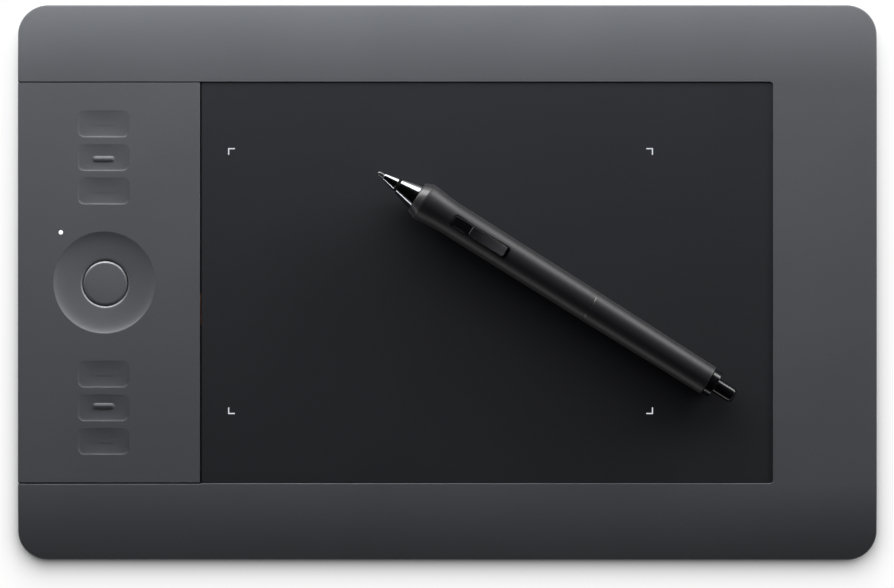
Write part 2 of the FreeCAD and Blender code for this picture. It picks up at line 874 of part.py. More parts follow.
def panel_parts(form, hollow):
    """Control panel with its keys, ring, lights, socket and switch."""
    pipe_bottom = key_board_top + ring_led_height + stop_clearance
    pipe_top = tablet_height - light_window_thickness
    lights = light_places()
    parts = {
        "control_panel": control_panel(form, hollow),
        "ring_button": ring_button(),
        "ring_electrode": ring_electrode(),
        "key_board": key_board(),
        "key_domes": key_domes(),
        "ring_leds": compound([centred_box(x, y, ring_led_side, ring_led_side, key_board_top,
                                           key_board_top + ring_led_height) for x, y in lights]),
        "light_pipes": light_pieces(lights, pipe_bottom, pipe_top),
        "status_light": light_pieces(lights[:1], pipe_top, tablet_height),
        "hidden_lights": light_pieces(lights[1:], pipe_top, tablet_height),
        "usb_socket": usb_socket(),
        "power_switch": centred_box(power_switch_x + power_switch_depth / 2, slider_y, power_switch_depth,
                                    power_switch_length, key_board_top, key_board_top + slider_pad_height),
        "power_slider": power_slider(),
    }
    for number, (y, barred) in enumerate(key_places(), start=1):
        parts[f"shortcut_key_{number}"] = shortcut_key(y, barred)
    return parts


# Main board, ribbons and compartment contacts

def board_post_places():
    """Corners where the main board is screwed down."""
    return [(x, y) for x in (main_board_left + board_post_inset, main_board_right - board_post_inset)
            for y in (main_board_front + board_post_inset, main_board_rear - board_post_inset)]


def main_board():
    """Main circuit board."""
    holes = [post(x, y, board_screw_radius + screw_clearance, main_board_bottom, board_top)
             for x, y in board_post_places()]
    return box(main_board_left, main_board_right, main_board_front, main_board_rear, main_board_bottom,
               board_top).cut(compound(holes))


def board_connectors():
    """Ribbon connectors on the three boards."""
    key_width_out = key_ribbon_width + 2 * connector_margin
    sensor_width_out = sensor_ribbon_width + 2 * connector_margin
    key_end = key_board_right - connector_depth
    main_end = main_board_left + connector_margin
    sensor_front = sensor_board_inset - seam_y + connector_margin
    main_front = main_board_front + connector_margin
    return compound([
        box(key_end, key_board_right - connector_margin, key_ribbon_y - key_width_out / 2,
            key_ribbon_y + key_width_out / 2, key_board_top, key_board_top + connector_height),
        box(main_end, main_end + connector_depth, key_ribbon_y - key_width_out / 2,
            key_ribbon_y + key_width_out / 2, board_top, board_top + connector_height),
        box(sensor_ribbon_x - sensor_width_out / 2, sensor_ribbon_x + sensor_width_out / 2, sensor_front,
            sensor_front + connector_depth, sensor_bottom - connector_height, sensor_bottom),
        box(sensor_ribbon_x - sensor_width_out / 2, sensor_ribbon_x + sensor_width_out / 2, main_front,
            main_front + connector_depth, board_top, board_top + connector_height),
    ])


def key_ribbon():
    """Flat cable from the key board to the main board, run close under the shield."""
    start = key_board_right - connector_margin
    end = main_board_left + connector_margin
    end_z = board_top + connector_height / 2
    start_z = key_board_top + connector_height / 2
    points = [(start, start_z), (start + ribbon_bend / 2, start_z), (start + ribbon_bend, key_ribbon_run_z),
              (end - 2 * ribbon_bend, key_ribbon_run_z), (end - ribbon_bend, end_z), (end, end_z)]
    cable = ribbon(points, key_ribbon_width, "Y")
    cable.translate(FreeCAD.Vector(0, key_ribbon_y, 0))
    return cable


def sensor_ribbon():
    """Flat cable from the pen sensor to the main board."""
    start = sensor_board_inset - seam_y + connector_margin + connector_depth
    end = main_board_front + connector_margin
    start_z = sensor_bottom - connector_height / 2
    end_z = board_top + connector_height / 2
    points = [(start, start_z), (start + ribbon_bend, start_z), (end - ribbon_bend, end_z), (end, end_z)]
    cable = ribbon(points, sensor_ribbon_width, "X")
    cable.translate(FreeCAD.Vector(sensor_ribbon_x, 0, 0))
    return cable


def battery_contact_x():
    """Middle of the battery bay, where its contacts stand."""
    return bay_left + battery_bay_width / 2


def module_plug_x():
    """Middle of the module bay, where its plug stands."""
    return module_bay_left + module_bay_width / 2


def block_span():
    """Front and rear of the contact blocks, which end flush in the bays' front wall."""
    rear = bay_front - contact_clearance
    return rear - contact_block_depth, rear


def battery_contacts():
    """Contact block on the main board with blades that reach into the battery bay."""
    front, rear = block_span()
    top = board_top + contact_block_height
    x = battery_contact_x()
    pieces = [box(x - contact_block_width / 2, x + contact_block_width / 2, front, rear, board_top, top)]
    pitch = contact_block_width / contact_blades
    blade_z = board_top + contact_block_height / 2
    for number in range(contact_blades):
        blade_x = x + (number - (contact_blades - 1) / 2) * pitch
        pieces.append(box(blade_x - contact_blade_width / 2, blade_x + contact_blade_width / 2, rear,
                          rear + contact_blade_reach, blade_z - contact_blade_thickness / 2,
                          blade_z + contact_blade_thickness / 2))
    return fused(pieces)


def module_plug():
    """Plug on the main board whose tongue reaches into the wireless module's bay."""
    front, rear = block_span()
    x = module_plug_x()
    tongue_z = board_top + contact_block_height / 2
    body = box(x - module_plug_width / 2, x + module_plug_width / 2, front, rear, board_top,
               board_top + contact_block_height)
    tongue = box(x - module_tongue_width / 2, x + module_tongue_width / 2, rear, rear + contact_blade_reach,
                 tongue_z - module_tongue_thickness / 2, tongue_z + module_tongue_thickness / 2)
    return fused([body, tongue])


def case_screws():
    """Screws that hold the bottom cover to the bezel and the control panel."""
    head_bottom = foot_stand_off + case_screw_head_sink
    head_top = head_bottom + case_screw_head_height
    return compound([fused([post(x, y, case_screw_head_radius, head_bottom, head_top),
                            post(x, y, case_screw_radius, head_top, case_screw_tip_height)])
                     for x, y in cover_screw_places() + panel_screw_places()])


def board_screws():
    """Small screws of the key board, from below, and of the main board, from above."""
    pieces = []
    key_bottom = key_board_top - key_board_thickness
    for x, y in key_post_places():
        pieces.append(fused([
            post(x, y, board_screw_head_radius, key_bottom - board_screw_head_height, key_bottom),
            post(x, y, board_screw_radius, key_bottom, key_board_top + board_screw_grip)]))
    for x, y in board_post_places():
        pieces.append(fused([
            post(x, y, board_screw_head_radius, board_top, board_top + board_screw_head_height),
            post(x, y, board_screw_radius, board_top - board_screw_grip, board_top)]))
    return compound(pieces)


def board_parts():
    """Main board, ribbons, contacts and screws."""
    return {
        "main_board": main_board(),
        "controller_chips": compound([centred_box(main_board_left + x, main_board_front + y, length, width,
                                                  board_top, board_top + height)
                                      for x, y, length, width, height in chips]),
        "ribbon_connectors": board_connectors(),
        "key_ribbon": key_ribbon(),
        "sensor_ribbon": sensor_ribbon(),
        "battery_contacts": battery_contacts(),
        "module_plug": module_plug(),
        "case_screws": case_screws(),
        "board_screws": board_screws(),
    }


# Underside

def feet(z0, z1, growth):
    """Four long rubber feet or, grown a little, their recesses."""
    length = foot_length + 2 * growth
    width = foot_width + 2 * growth
    x = half_width - foot_side_inset
    y = half_depth - foot_end_inset
    return [centred_prism(side_x * x, side_y * y, length, width, z0, z1, width / 2.05)
            for side_x in (-1, 1) for side_y in (-1, 1)]


def compartment_slab():
    """Thicker floor round the compartment, before its recess is cut."""
    side = cover_rail + cover_side_wall
    return box(cover_left - side, cover_right + side, cover_front - cover_side_wall, half_depth - shell_wall,
               foot_stand_off + floor_thickness / 2, recess_top + bay_floor_slab)


def tub_block():
    """Outer block of the compartment tub, which fills a hole in the bottom cover."""
    return box(bay_left - bay_wall, bay_right + bay_wall, bay_front - bay_wall, bay_rear + bay_wall,
               recess_top, bay_ceiling + bay_roof)


def compartment_tub():
    """Tub with both bays, open below, and a window in its front wall for each set of contacts."""
    low = recess_top - overshoot
    battery = box(bay_left, bay_left + battery_bay_width, bay_front, bay_rear, low, bay_ceiling)
    module = box(module_bay_left, bay_right, bay_front, bay_rear, low, bay_ceiling)
    windows = []
    for x, width in ((battery_contact_x(), contact_block_width), (module_plug_x(), module_plug_width)):
        windows.append(centred_box(x, bay_front - bay_wall / 2, width + 2 * contact_clearance,
                                   bay_wall + overshoot / 2, board_top - contact_clearance,
                                   board_top + contact_block_height + contact_clearance))
    return tub_block().cut(compound([battery, module] + windows))


def recess_cuts():
    """Recess of the sliding cover and the grooves of its rails."""
    rear = half_depth + overshoot
    recess = box(cover_left - cover_clearance, cover_right + cover_clearance, cover_front - cover_clearance,
                 rear, foot_stand_off - overshoot, recess_top)
    groove_bottom = cover_top - cover_rail_thickness - cover_clearance / 2
    groove_reach = cover_rail + cover_clearance
    grooves = box(cover_left - groove_reach, cover_right + groove_reach, cover_front - cover_clearance, rear,
                  groove_bottom, recess_top)
    return [recess, grooves]


def compartment_cover(form):
    """Sliding cover flush with the underside, with rails along both sides."""
    rear = half_depth + overshoot
    plate = box(cover_left, cover_right, cover_front, rear, foot_stand_off, cover_top)
    rails = box(cover_left - cover_rail, cover_right + cover_rail, cover_front, rear,
                cover_top - cover_rail_thickness, cover_top)
    cover = fused([plate, rails]).common(form)
    middle = (cover_left + cover_right) / 2
    first = cover_front + cover_side_wall + grip_slot_pitch
    slot_top = foot_stand_off + grip_slot_depth
    slots = [centred_prism(middle, first + number * grip_slot_pitch, grip_slot_length, grip_slot_width,
                           foot_stand_off - overshoot, slot_top, grip_slot_width / 2.1)
             for number in range(grip_slots)]
    return cover.cut(compound(slots))


def bottom_cover(form):
    """Tray of the underside with screw bosses, board posts, ribs, feet recesses and the tub's hole."""
    tray = form.cut(plan_prism(shell_wall, floor_top, parting_height + overshoot))
    middle_of_floor = foot_stand_off + floor_thickness / 2
    bosses = [post(x, y, case_boss_radius, middle_of_floor, parting_height)
              for x, y in cover_screw_places()]
    bosses += [post(x, y, panel_boss_radius, middle_of_floor, parting_height)
               for x, y in panel_screw_places()]
    posts = [post(x, y, board_post_radius, middle_of_floor, main_board_bottom)
             for x, y in board_post_places()]
    ribs = [box(rib_left, rib_right, y - rib_thickness / 2, y + rib_thickness / 2, middle_of_floor,
                shield_bottom - rib_gap) for y in rib_rows]
    tray = fused([tray] + bosses + posts + ribs + [compartment_slab()])
    head_seat = foot_stand_off + case_screw_head_sink + case_screw_head_height
    cuts = feet(foot_stand_off - overshoot, foot_stand_off + foot_sink, 0)
    for x, y in cover_screw_places() + panel_screw_places():
        cuts.append(post(x, y, case_screw_head_radius + 2 * screw_clearance, foot_stand_off - overshoot,
                         head_seat))
        cuts.append(post(x, y, case_screw_radius + screw_clearance, head_seat, parting_height + overshoot))
    for x, y in board_post_places():
        cuts.append(post(x, y, board_screw_radius + screw_clearance,
                         board_top - board_screw_grip - screw_clearance, main_board_bottom + overshoot))
    return tray.cut(compound(cuts)).cut(compound(recess_cuts() + [tub_block()]))


def underside_parts():
    """Bottom cover, compartment tub and its cover, and feet."""
    form = lower_block()
    return {
        "bottom_cover": bottom_cover(form),
        "compartment_tub": compartment_tub(),
        "compartment_cover": compartment_cover(form),
        "rubber_feet": compound(feet(0, foot_stand_off + foot_sink, 0)),
    }


# Pen, made along +X from the tip with its side switch up, then laid on the surface

def turned(profile):
    """Solid turned about the pen's axis from (place, radius) points of half its section."""
    corners = [FreeCAD.Vector(place, 0, radius) for place, radius in profile + profile[:1]]
    return Part.Face(Part.makePolygon(corners)).revolve(FreeCAD.Vector(), FreeCAD.Vector(1, 0, 0), 360)


def tube(front, rear, inner, outer):
    """Round tube about the pen's axis, or a rod where the inner radius is nought."""
    base = FreeCAD.Vector(front, 0, 0)
    axis = FreeCAD.Vector(1, 0, 0)
    rod = Part.makeCylinder(outer, rear - front, base, axis)
    if not inner:
        return rod
    return rod.cut(Part.makeCylinder(inner, rear - front, base, axis))


def nose_radius(place):
    """Radius of the metal nose's straight cone."""
    share = (place - nose_front) / (nose_rear - nose_front)
    return nose_front_radius + share * (nose_rear_radius - nose_front_radius)


def nose_tip():
    """Front of the metal nose with the spigot that plugs into the cone."""
    bore = nib_radius + nib_clearance
    return turned([(nose_front, bore), (nose_front, nose_front_radius),
                   (nose_ring_front, nose_radius(nose_ring_front)), (nose_ring_front, nose_spigot_radius),
                   (nose_spigot_rear, nose_spigot_radius), (nose_spigot_rear, bore)])


def nose_cone():
    """Rear of the metal nose with the plug that sits in the barrel."""
    plug = barrel_bore_radius - carrier_clearance
    return turned([(nose_ring_rear, nose_spigot_radius), (nose_ring_rear, nose_radius(nose_ring_rear)),
                   (nose_rear, nose_rear_radius), (nose_rear, plug), (nose_plug_rear, plug),
                   (nose_plug_rear, nose_socket_radius), (nose_spigot_rear, nose_socket_radius),
                   (nose_spigot_rear, nose_spigot_radius)])


def nib():
    """Nib rod with a rounded tip."""
    rod = tube(0, nib_rear, 0, nib_radius)
    tip = [edge for edge in rod.Edges if edge.BoundBox.XMax < nib_radius]
    return rod.makeFillet(0.9 * nib_radius, tip)


def front_barrel_form():
    """Outer form of the grip: rounded nose, shoulder and long waist."""
    first = FreeCAD.Vector(barrel_front, 0, barrel_front_radius)
    last = FreeCAD.Vector(grip_start, 0, grip_radius)
    rear = FreeCAD.Vector(barrel_seam, 0, barrel_seam_radius)
    curve = Part.BSplineCurve()
    curve.interpolate([first, FreeCAD.Vector(barrel_nose_mid, 0, barrel_nose_mid_radius),
                       FreeCAD.Vector(shoulder_place, 0, shoulder_radius),
                       FreeCAD.Vector(waist_start, 0, waist_start_radius),
                       FreeCAD.Vector(waist_mid, 0, waist_mid_radius), last])
    start = FreeCAD.Vector(barrel_front, 0, 0)
    end = FreeCAD.Vector(barrel_seam, 0, 0)
    wire = Part.Wire([curve.toShape(), Part.makeLine(last, rear), Part.makeLine(rear, end),
                      Part.makeLine(end, start), Part.makeLine(start, first)])
    return Part.Face(wire).revolve(FreeCAD.Vector(), FreeCAD.Vector(1, 0, 0), 360)


def switch_prism(inset_side, inset_end, z0, z1, corner):
    """Upright prism of the side switch's outline, set in at its sides and ends."""
    return rounded_prism(switch_front + inset_end, switch_rear - inset_end, inset_side - switch_width / 2,
                         switch_width / 2 - inset_side, z0, z1, corner)


def front_barrel():
    """Front barrel with its bore and the slot of the side switch."""
    bore = tube(barrel_front - overshoot, barrel_seam + overshoot, 0, barrel_bore_radius)
    slot = switch_prism(0, 0, switch_slot_bottom, shoulder_radius + overshoot, switch_corner_radius)
    return front_barrel_form().cut(bore).cut(slot)


def rear_barrel():
    """Rear barrel, a plain tapered tube."""
    front = barrel_seam + barrel_seam_gap
    form = turned([(front, barrel_bore_radius), (front, barrel_seam_radius),
                   (barrel_rear, barrel_rear_radius), (barrel_rear, barrel_bore_radius)])
    rims = [edge for edge in form.Edges if edge.BoundBox.XLength < overshoot / 2
            and edge.BoundBox.ZMax > (barrel_bore_radius + barrel_rear_radius) / 2]
    return form.makeFillet(barrel_edge_round, rims)


def tail_collar():
    """Glossy collar at the tail with its plug, chamber and retaining lip."""
    plug = barrel_bore_radius - carrier_clearance
    lip_front = collar_rear - collar_lip
    form = turned([(collar_plug_front, collar_chamber_radius), (collar_plug_front, plug),
                   (collar_front, plug), (collar_front, collar_radius), (collar_rear, collar_radius),
                   (collar_rear, collar_bore_radius), (lip_front, collar_bore_radius),
                   (lip_front, collar_chamber_radius)])
    rim = [edge for edge in form.Edges if edge.BoundBox.XMin > collar_rear - collar_edge_round
           and edge.BoundBox.ZMax > (collar_radius + collar_bore_radius) / 2]
    return form.makeFillet(collar_edge_round, rim)


def eraser():
    """Eraser button with its flange and the shaft that presses its sensor."""
    flange_rear = eraser_front + eraser_flange_thickness
    head = tube(flange_rear, pen_length, 0, eraser_radius)
    end = [edge for edge in head.Edges if edge.BoundBox.XMin > pen_length - overshoot]
    head = head.makeFillet(eraser_round, end)
    return fused([tube(eraser_shaft_front, eraser_front, 0, eraser_shaft_radius),
                  tube(eraser_front, flange_rear, 0, eraser_flange_radius), head])


def switch_surround():
    """Frame of the side switch, trimmed to the barrel, with holes for the rocker's pins."""
    outer = switch_prism(0, 0, surround_bottom, shoulder_radius, switch_corner_radius)
    inner = switch_prism(surround_side, surround_end, surround_bottom - overshoot,
                         shoulder_radius + overshoot, switch_corner_radius - surround_side)
    pins = Part.makeCylinder(rocker_pin_radius + rocker_pin_clearance, switch_width,
                             FreeCAD.Vector(rocker_place(), -switch_width / 2, rocker_pivot_z),
                             FreeCAD.Vector(0, 1, 0))
    return outer.common(front_barrel_form()).cut(inner).cut(pins)


def pad_span():
    """Front and rear ends of the two switch pads."""
    return switch_front + surround_end + pad_gap_end, switch_rear - surround_end - pad_rear_gap


def rocker_place():
    """Place of the rocker's pivot, midway along the pads."""
    front, rear = pad_span()
    return (front + rear) / 2


def switch_pad(front, rear, top):
    """One pad of the side switch, its top edges broken by a small bevel."""
    half = switch_width / 2 - surround_side - pad_gap_side
    pad = rounded_prism(front, rear, -half, half, pad_bottom, top, switch_corner_radius - surround_side)
    upper = [edge for edge in pad.Edges if edge.BoundBox.ZMin > top - pad_edge_round]
    return pad.makeChamfer(pad_edge_round, upper)


def switch_rocker():
    """Rocker beam under the pads with its pivot pins and two press nubs."""
    front, rear = pad_span()
    beam = box(front + rocker_inset, rear - rocker_inset, -rocker_width / 2, rocker_width / 2,
               rocker_bottom, pad_bottom)
    pin_half = switch_width / 2 - rocker_pin_clearance
    pins = Part.makeCylinder(rocker_pin_radius, 2 * pin_half,
                             FreeCAD.Vector(rocker_place(), -pin_half, rocker_pivot_z),
                             FreeCAD.Vector(0, 1, 0))
    nubs = [post(x, 0, rocker_nub_radius, rocker_nub_bottom, rocker_bottom) for x in nub_places()]
    return fused([beam, pins] + nubs)


def nub_places():
    """Places of the rocker's nubs and of the domes under them."""
    front, rear = pad_span()
    return front + rocker_nub_inset, rear - rocker_nub_inset


def pen_tray():
    """Inner tray that carries the coil, the sensors and the board between its two end rings."""
    radius = barrel_bore_radius - carrier_clearance
    body = tube(tray_ring_front, tray_rear, 0, radius)
    open_top = box(tray_ring_rear, tray_rear_ring, -radius, radius, tray_top, radius)
    sensor_hollow = sensor_radius + sensor_clearance
    coil_hollow = coil_radius + sensor_clearance
    coil_seat = tube(tray_ring_front - overshoot, tray_ring_rear + overshoot, 0, coil_hollow)
    tip_end = tip_sensor_front + tip_sensor_length + sensor_clearance
    tip_seat = tube(tray_ring_rear, tip_end, 0, sensor_hollow)
    tail_seat = tube(tray_rear_ring - overshoot, tray_rear + overshoot, 0, sensor_hollow)
    return body.cut(compound([open_top])).cut(coil_seat).cut(tip_seat).cut(tail_seat)


def pen_placement():
    """Where the pen lies: shoulder and tail end of its barrel just clear of the surface."""
    pitch = math.asin((shoulder_radius - barrel_rear_radius) / (barrel_rear - shoulder_place))
    lift = surface_top + pen_rest_gap + shoulder_radius / math.cos(pitch) + shoulder_place * math.tan(pitch)
    heading = FreeCAD.Rotation(FreeCAD.Vector(0, 0, 1), pen_heading)
    tilt = FreeCAD.Rotation(FreeCAD.Vector(0, 1, 0), math.degrees(pitch))
    tip = FreeCAD.Vector(surface_centre_x + pen_tip_offset_x, pen_tip_y, lift)
    return FreeCAD.Placement(tip, heading * tilt)


def pen_parts():
    """Every piece of the pen, laid on the surface."""
    front, rear = pad_span()
    board_top_z = tray_top + pen_board_thickness
    domes = [centred_box(x, 0, pen_dome_side, pen_dome_side, board_top_z, board_top_z + pen_dome_height)
             for x in nub_places()]
    parts = {
        "pen_nib": nib(),
        "pen_nose_tip": nose_tip(),
        "pen_nose_ring": tube(nose_ring_front, nose_ring_rear, nose_spigot_radius,
                              nose_radius(nose_ring_front) - nose_ring_sink),
        "pen_nose_cone": nose_cone(),
        "pen_front_barrel": front_barrel(),
        "pen_rear_barrel": rear_barrel(),
        "pen_tail_collar": tail_collar(),
        "pen_eraser": eraser(),
        "pen_switch_surround": switch_surround(),
        "pen_switch_rocker": switch_rocker(),
        "pen_front_pad": switch_pad(front, pad_division - pad_division_gap, front_pad_top),
        "pen_rear_pad": switch_pad(pad_division + pad_division_gap, rear, pad_top),
        "pen_ferrite_core": tube(core_front, core_rear, core_bore_radius, core_radius),
        "pen_coil": tube(coil_front, coil_rear, core_radius, coil_radius),
        "pen_tip_sensor": tube(tip_sensor_front, tip_sensor_front + tip_sensor_length, 0, sensor_radius),
        "pen_eraser_sensor": tube(tray_rear_ring, eraser_sensor_rear, 0, sensor_radius),
        "pen_tray": pen_tray(),
        "pen_board": centred_box((pen_board_front + pen_board_rear) / 2, 0, pen_board_rear - pen_board_front,
                                 pen_board_width, tray_top, board_top_z),
        "pen_switch_domes": compound(domes),
    }
    place = pen_placement()
    for shape in parts.values():
        shape.Placement = place.multiply(shape.Placement)
    return parts


def main():
    """Build every piece and write one file for each."""
    os.makedirs("parts", exist_ok=True)
    form = upper_block()
    hollow = upper_hollow()
    parts = {"top_cover": top_cover(form, hollow)}
    parts.update(surface_parts())
    parts.update(panel_parts(form, hollow))
    parts.update(board_parts())
    parts.update(underside_parts())
    parts.update(pen_parts())
    for name, shape in parts.items():
        shape.exportStep(f"parts/{name}.step")
        state = "valid" if shape.isValid() else "INVALID"
        print(name, len(shape.Solids), "solids", round(shape.Volume, 2), state)


main()
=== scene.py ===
"""Finish, light and frame a pen tablet with its pen lying on the drawing sheet.

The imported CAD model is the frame. Its outer pieces are remade here with rounded edges, dished keys and
grained finishes, in the same places and inside the same box. Lengths are in millimetres in the CAD frame
until a form is written out.
"""
import json
import logging
import math
from collections.abc import Callable, Iterable, Sequence
from dataclasses import dataclass, field
from enum import Enum

import bmesh
import bpy
from mathutils import Matrix, Vector


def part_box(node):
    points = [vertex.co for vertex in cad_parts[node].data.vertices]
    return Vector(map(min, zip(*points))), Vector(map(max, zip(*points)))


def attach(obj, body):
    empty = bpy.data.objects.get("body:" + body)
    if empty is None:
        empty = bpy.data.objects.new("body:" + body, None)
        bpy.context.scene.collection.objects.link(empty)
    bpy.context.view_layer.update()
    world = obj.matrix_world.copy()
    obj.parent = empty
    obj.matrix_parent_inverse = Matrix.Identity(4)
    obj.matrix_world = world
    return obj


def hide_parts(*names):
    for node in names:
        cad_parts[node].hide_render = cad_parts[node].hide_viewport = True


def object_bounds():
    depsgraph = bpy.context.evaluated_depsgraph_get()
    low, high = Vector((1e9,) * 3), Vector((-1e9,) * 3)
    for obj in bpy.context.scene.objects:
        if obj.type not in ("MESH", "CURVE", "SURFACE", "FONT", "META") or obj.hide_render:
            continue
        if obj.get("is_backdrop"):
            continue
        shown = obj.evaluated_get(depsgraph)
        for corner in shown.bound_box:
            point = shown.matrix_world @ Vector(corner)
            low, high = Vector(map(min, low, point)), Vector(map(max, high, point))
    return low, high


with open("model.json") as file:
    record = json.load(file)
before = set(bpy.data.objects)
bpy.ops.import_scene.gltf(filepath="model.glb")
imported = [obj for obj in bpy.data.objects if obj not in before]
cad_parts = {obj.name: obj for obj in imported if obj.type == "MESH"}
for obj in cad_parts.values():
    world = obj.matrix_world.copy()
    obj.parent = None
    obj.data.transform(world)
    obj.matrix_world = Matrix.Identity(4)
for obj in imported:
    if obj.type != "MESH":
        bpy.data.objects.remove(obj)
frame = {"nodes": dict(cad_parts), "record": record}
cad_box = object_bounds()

log = logging.getLogger("tablet")

MILLIMETRE = 0.001
PHOTO_SIZE = (894, 588)
CRISP_ANGLE = 35.0
MERGE_REACH = 1e-5
SOFT_EDGE = 0.03
BROAD_FACE_WEIGHT = 100
# The Mix node's sockets for colours go by number, because their names repeat.
MIX_SHARE, MIX_FIRST, MIX_SECOND, MIX_COLOUR = 0, 6, 7, 2

Rgb = tuple[int, int, int]
Colour = tuple[float, float, float, float]
Plan = tuple[float, float]
Levels = Sequence[tuple[float, float]]
Loop = list[bmesh.types.BMVert]


# Shader building

def shown(colour: Rgb) -> Colour:
    """Turn a colour as it shows on screen, in steps of 255, into shader values.

    Args:
        colour: Red, green and blue from 0 to 255.

    Returns:
        Linear red, green, blue and full alpha.
    """
    shares = [step / 255 for step in colour]
    linear = [share / 12.92 if share <= 0.04045 else ((share + 0.055) / 1.055) ** 2.4 for share in shares]
    return (*linear, 1.0)


def scaled(colour: Colour, share: float) -> Colour:
    """Scale a shader colour by a share, up to white."""
    return (*(min(1.0, part * share) for part in colour[:3]), 1.0)


@dataclass
class Signal:
    """A shader value that takes part in Python sums; each sum adds its Math node.

    Attributes:
        graph: Builder of the tree that it is in.
        socket: Output that carries it.
    """

    graph: "Graph"
    socket: bpy.types.NodeSocket

    def _sum(self, operation: str, *terms: "Signal | float") -> "Signal":
        """Add a Math node for one operation."""
        return self.graph.signal("ShaderNodeMath", {"operation": operation}, dict(enumerate(terms)))

    def __add__(self, other: "Signal | float") -> "Signal":
        """Add."""
        return self._sum("ADD", self, other)

    def __mul__(self, other: "Signal | float") -> "Signal":
        """Multiply."""
        return self._sum("MULTIPLY", self, other)

    def __sub__(self, other: "Signal | float") -> "Signal":
        """Take away."""
        return self._sum("SUBTRACT", self, other)

    def __rsub__(self, other: float) -> "Signal":
        """Take this away from a number."""
        return self._sum("SUBTRACT", other, self)

    def __truediv__(self, other: "Signal | float") -> "Signal":
        """Divide."""
        return self._sum("DIVIDE", self, other)

    def __pow__(self, other: float) -> "Signal":
        """Raise to a power."""
        return self._sum("POWER", self, other)

    def highest(self, other: "Signal | float") -> "Signal":
        """Give the higher of two values."""
        return self._sum("MAXIMUM", self, other)

    def size(self) -> "Signal":
        """Drop the sign."""
        return self._sum("ABSOLUTE", self)

    def root(self) -> "Signal":
        """Take the square root."""
        return self._sum("SQRT", self)

    def exponential(self) -> "Signal":
        """Raise e to this power."""
        return self._sum("EXPONENT", self)

    def kept_to_one(self) -> "Signal":
        """Hold between 0 and 1."""
        return self.graph.signal("ShaderNodeClamp", {}, {"Value": self})


class Graph:
    """Builder of one node tree."""

    def __init__(self, tree: bpy.types.NodeTree) -> None:
        """Take over a node tree and empty it.

        Args:
            tree: The tree of a material or of the world.
        """
        self.tree = tree
        tree.nodes.clear()

    def node(self, kind: str, settings: dict[str, object],
             sockets: dict[int | str, object]) -> bpy.types.Node:
        """Add a node.

        Args:
            kind: Blender's name for the type of node.
            settings: Properties, set first; "stops" holds a ramp's (place, colour) pairs.
            sockets: Values or signals of its inputs, by index or name.

        Returns:
            The new node.
        """
        node = self.tree.nodes.new(kind)
        for name, value in settings.items():
            if name == "stops":
                self._set_stops(node.color_ramp, value)
            else:
                setattr(node, name, value)
        for key, value in sockets.items():
            if isinstance(value, Signal):
                self.tree.links.new(value.socket, node.inputs[key])
            else:
                node.inputs[key].default_value = value
        return node

    def signal(self, kind: str, settings: dict[str, object], sockets: dict[int | str, object],
               output: int | str = 0) -> Signal:
        """Add a node and give one of its outputs.

        Args:
            kind: Blender's name for the type of node.
            settings: Properties of the node.
            sockets: Values or signals of its inputs.
            output: Index or name of the output.

        Returns:
            The output as a signal.
        """
        return Signal(self, self.node(kind, settings, sockets).outputs[output])

    @staticmethod
    def _set_stops(ramp: bpy.types.ColorRamp, stops: Sequence[tuple[float, tuple[float, ...]]]) -> None:
        """Write the stops of a ramp.

        Args:
            ramp: The ramp to fill.
            stops: Pairs of place and colour, in order.
        """
        while len(ramp.elements) < len(stops):
            ramp.elements.new(0.5)
        for element, (place, colour) in zip(ramp.elements, stops):
            element.position = place
            element.color = colour

    def place(self) -> Signal:
        """Position on the piece, in metres of the CAD frame."""
        return self.signal("ShaderNodeTexCoord", {}, {}, "Object")

    def axes(self, place: Signal) -> list[Signal]:
        """Part a position into its places across, towards the rear and up."""
        parts = self.node("ShaderNodeSeparateXYZ", {}, {0: place})
        return [Signal(self, output) for output in parts.outputs]

    def noise(self, place: Signal, pitch: float, detail: float = 2.0) -> Signal:
        """Add smooth noise.

        Args:
            place: Where it is read.
            pitch: Size of its blots in millimetres.
            detail: Number of finer layers.

        Returns:
            Noise about 0.5.
        """
        return self.signal("ShaderNodeTexNoise", {}, {"Vector": place, "Scale": 1 / (pitch * MILLIMETRE),
                                                      "Detail": detail})

    def stretched(self, place: Signal, heading: float, stretch: tuple[float, float, float]) -> Signal:
        """Turn the position to a heading and stretch it.

        Args:
            place: Position to change.
            heading: Degrees by which the piece is turned about the vertical.
            stretch: Factors along the piece, across it and up.

        Returns:
            The changed position.
        """
        turned = self.signal("ShaderNodeVectorRotate", {"rotation_type": "Z_AXIS"},
                             {"Vector": place, "Angle": -math.radians(heading)})
        return self.signal("ShaderNodeVectorMath", {"operation": "MULTIPLY"}, {0: turned, 1: stretch})

    def along(self, place: Signal, start: Vector, direction: Vector) -> Signal:
        """Distance in metres from a start point along a direction.

        Args:
            place: Position to measure.
            start: Where the distance is nought, in metres.
            direction: Unit vector of the line.

        Returns:
            The distance.
        """
        offset = self.signal("ShaderNodeVectorMath", {"operation": "SUBTRACT"}, {0: place, 1: tuple(start)})
        return self.signal("ShaderNodeVectorMath", {"operation": "DOT_PRODUCT"},
                           {0: offset, 1: tuple(direction)}, "Value")

    def mix(self, share: Signal, first: Signal | Colour, second: Signal | Colour) -> Signal:
        """Blend two colours by a share."""
        return self.signal("ShaderNodeMix", {"data_type": "RGBA"},
                           {MIX_SHARE: share, MIX_FIRST: first, MIX_SECOND: second}, MIX_COLOUR)

    def bump(self, relief: Signal, depth: float) -> Signal:
        """Turn a relief of 0 to 1 into a normal, with its depth in millimetres."""
        return self.signal("ShaderNodeBump", {}, {"Height": relief, "Distance": depth * MILLIMETRE})


def new_material(name: str) -> tuple[bpy.types.Material, Graph]:
    """Add a material and give it with the builder of its emptied tree."""
    material = bpy.data.materials.new(name)
    material.use_nodes = True
    return material, Graph(material.node_tree)


# Finishes

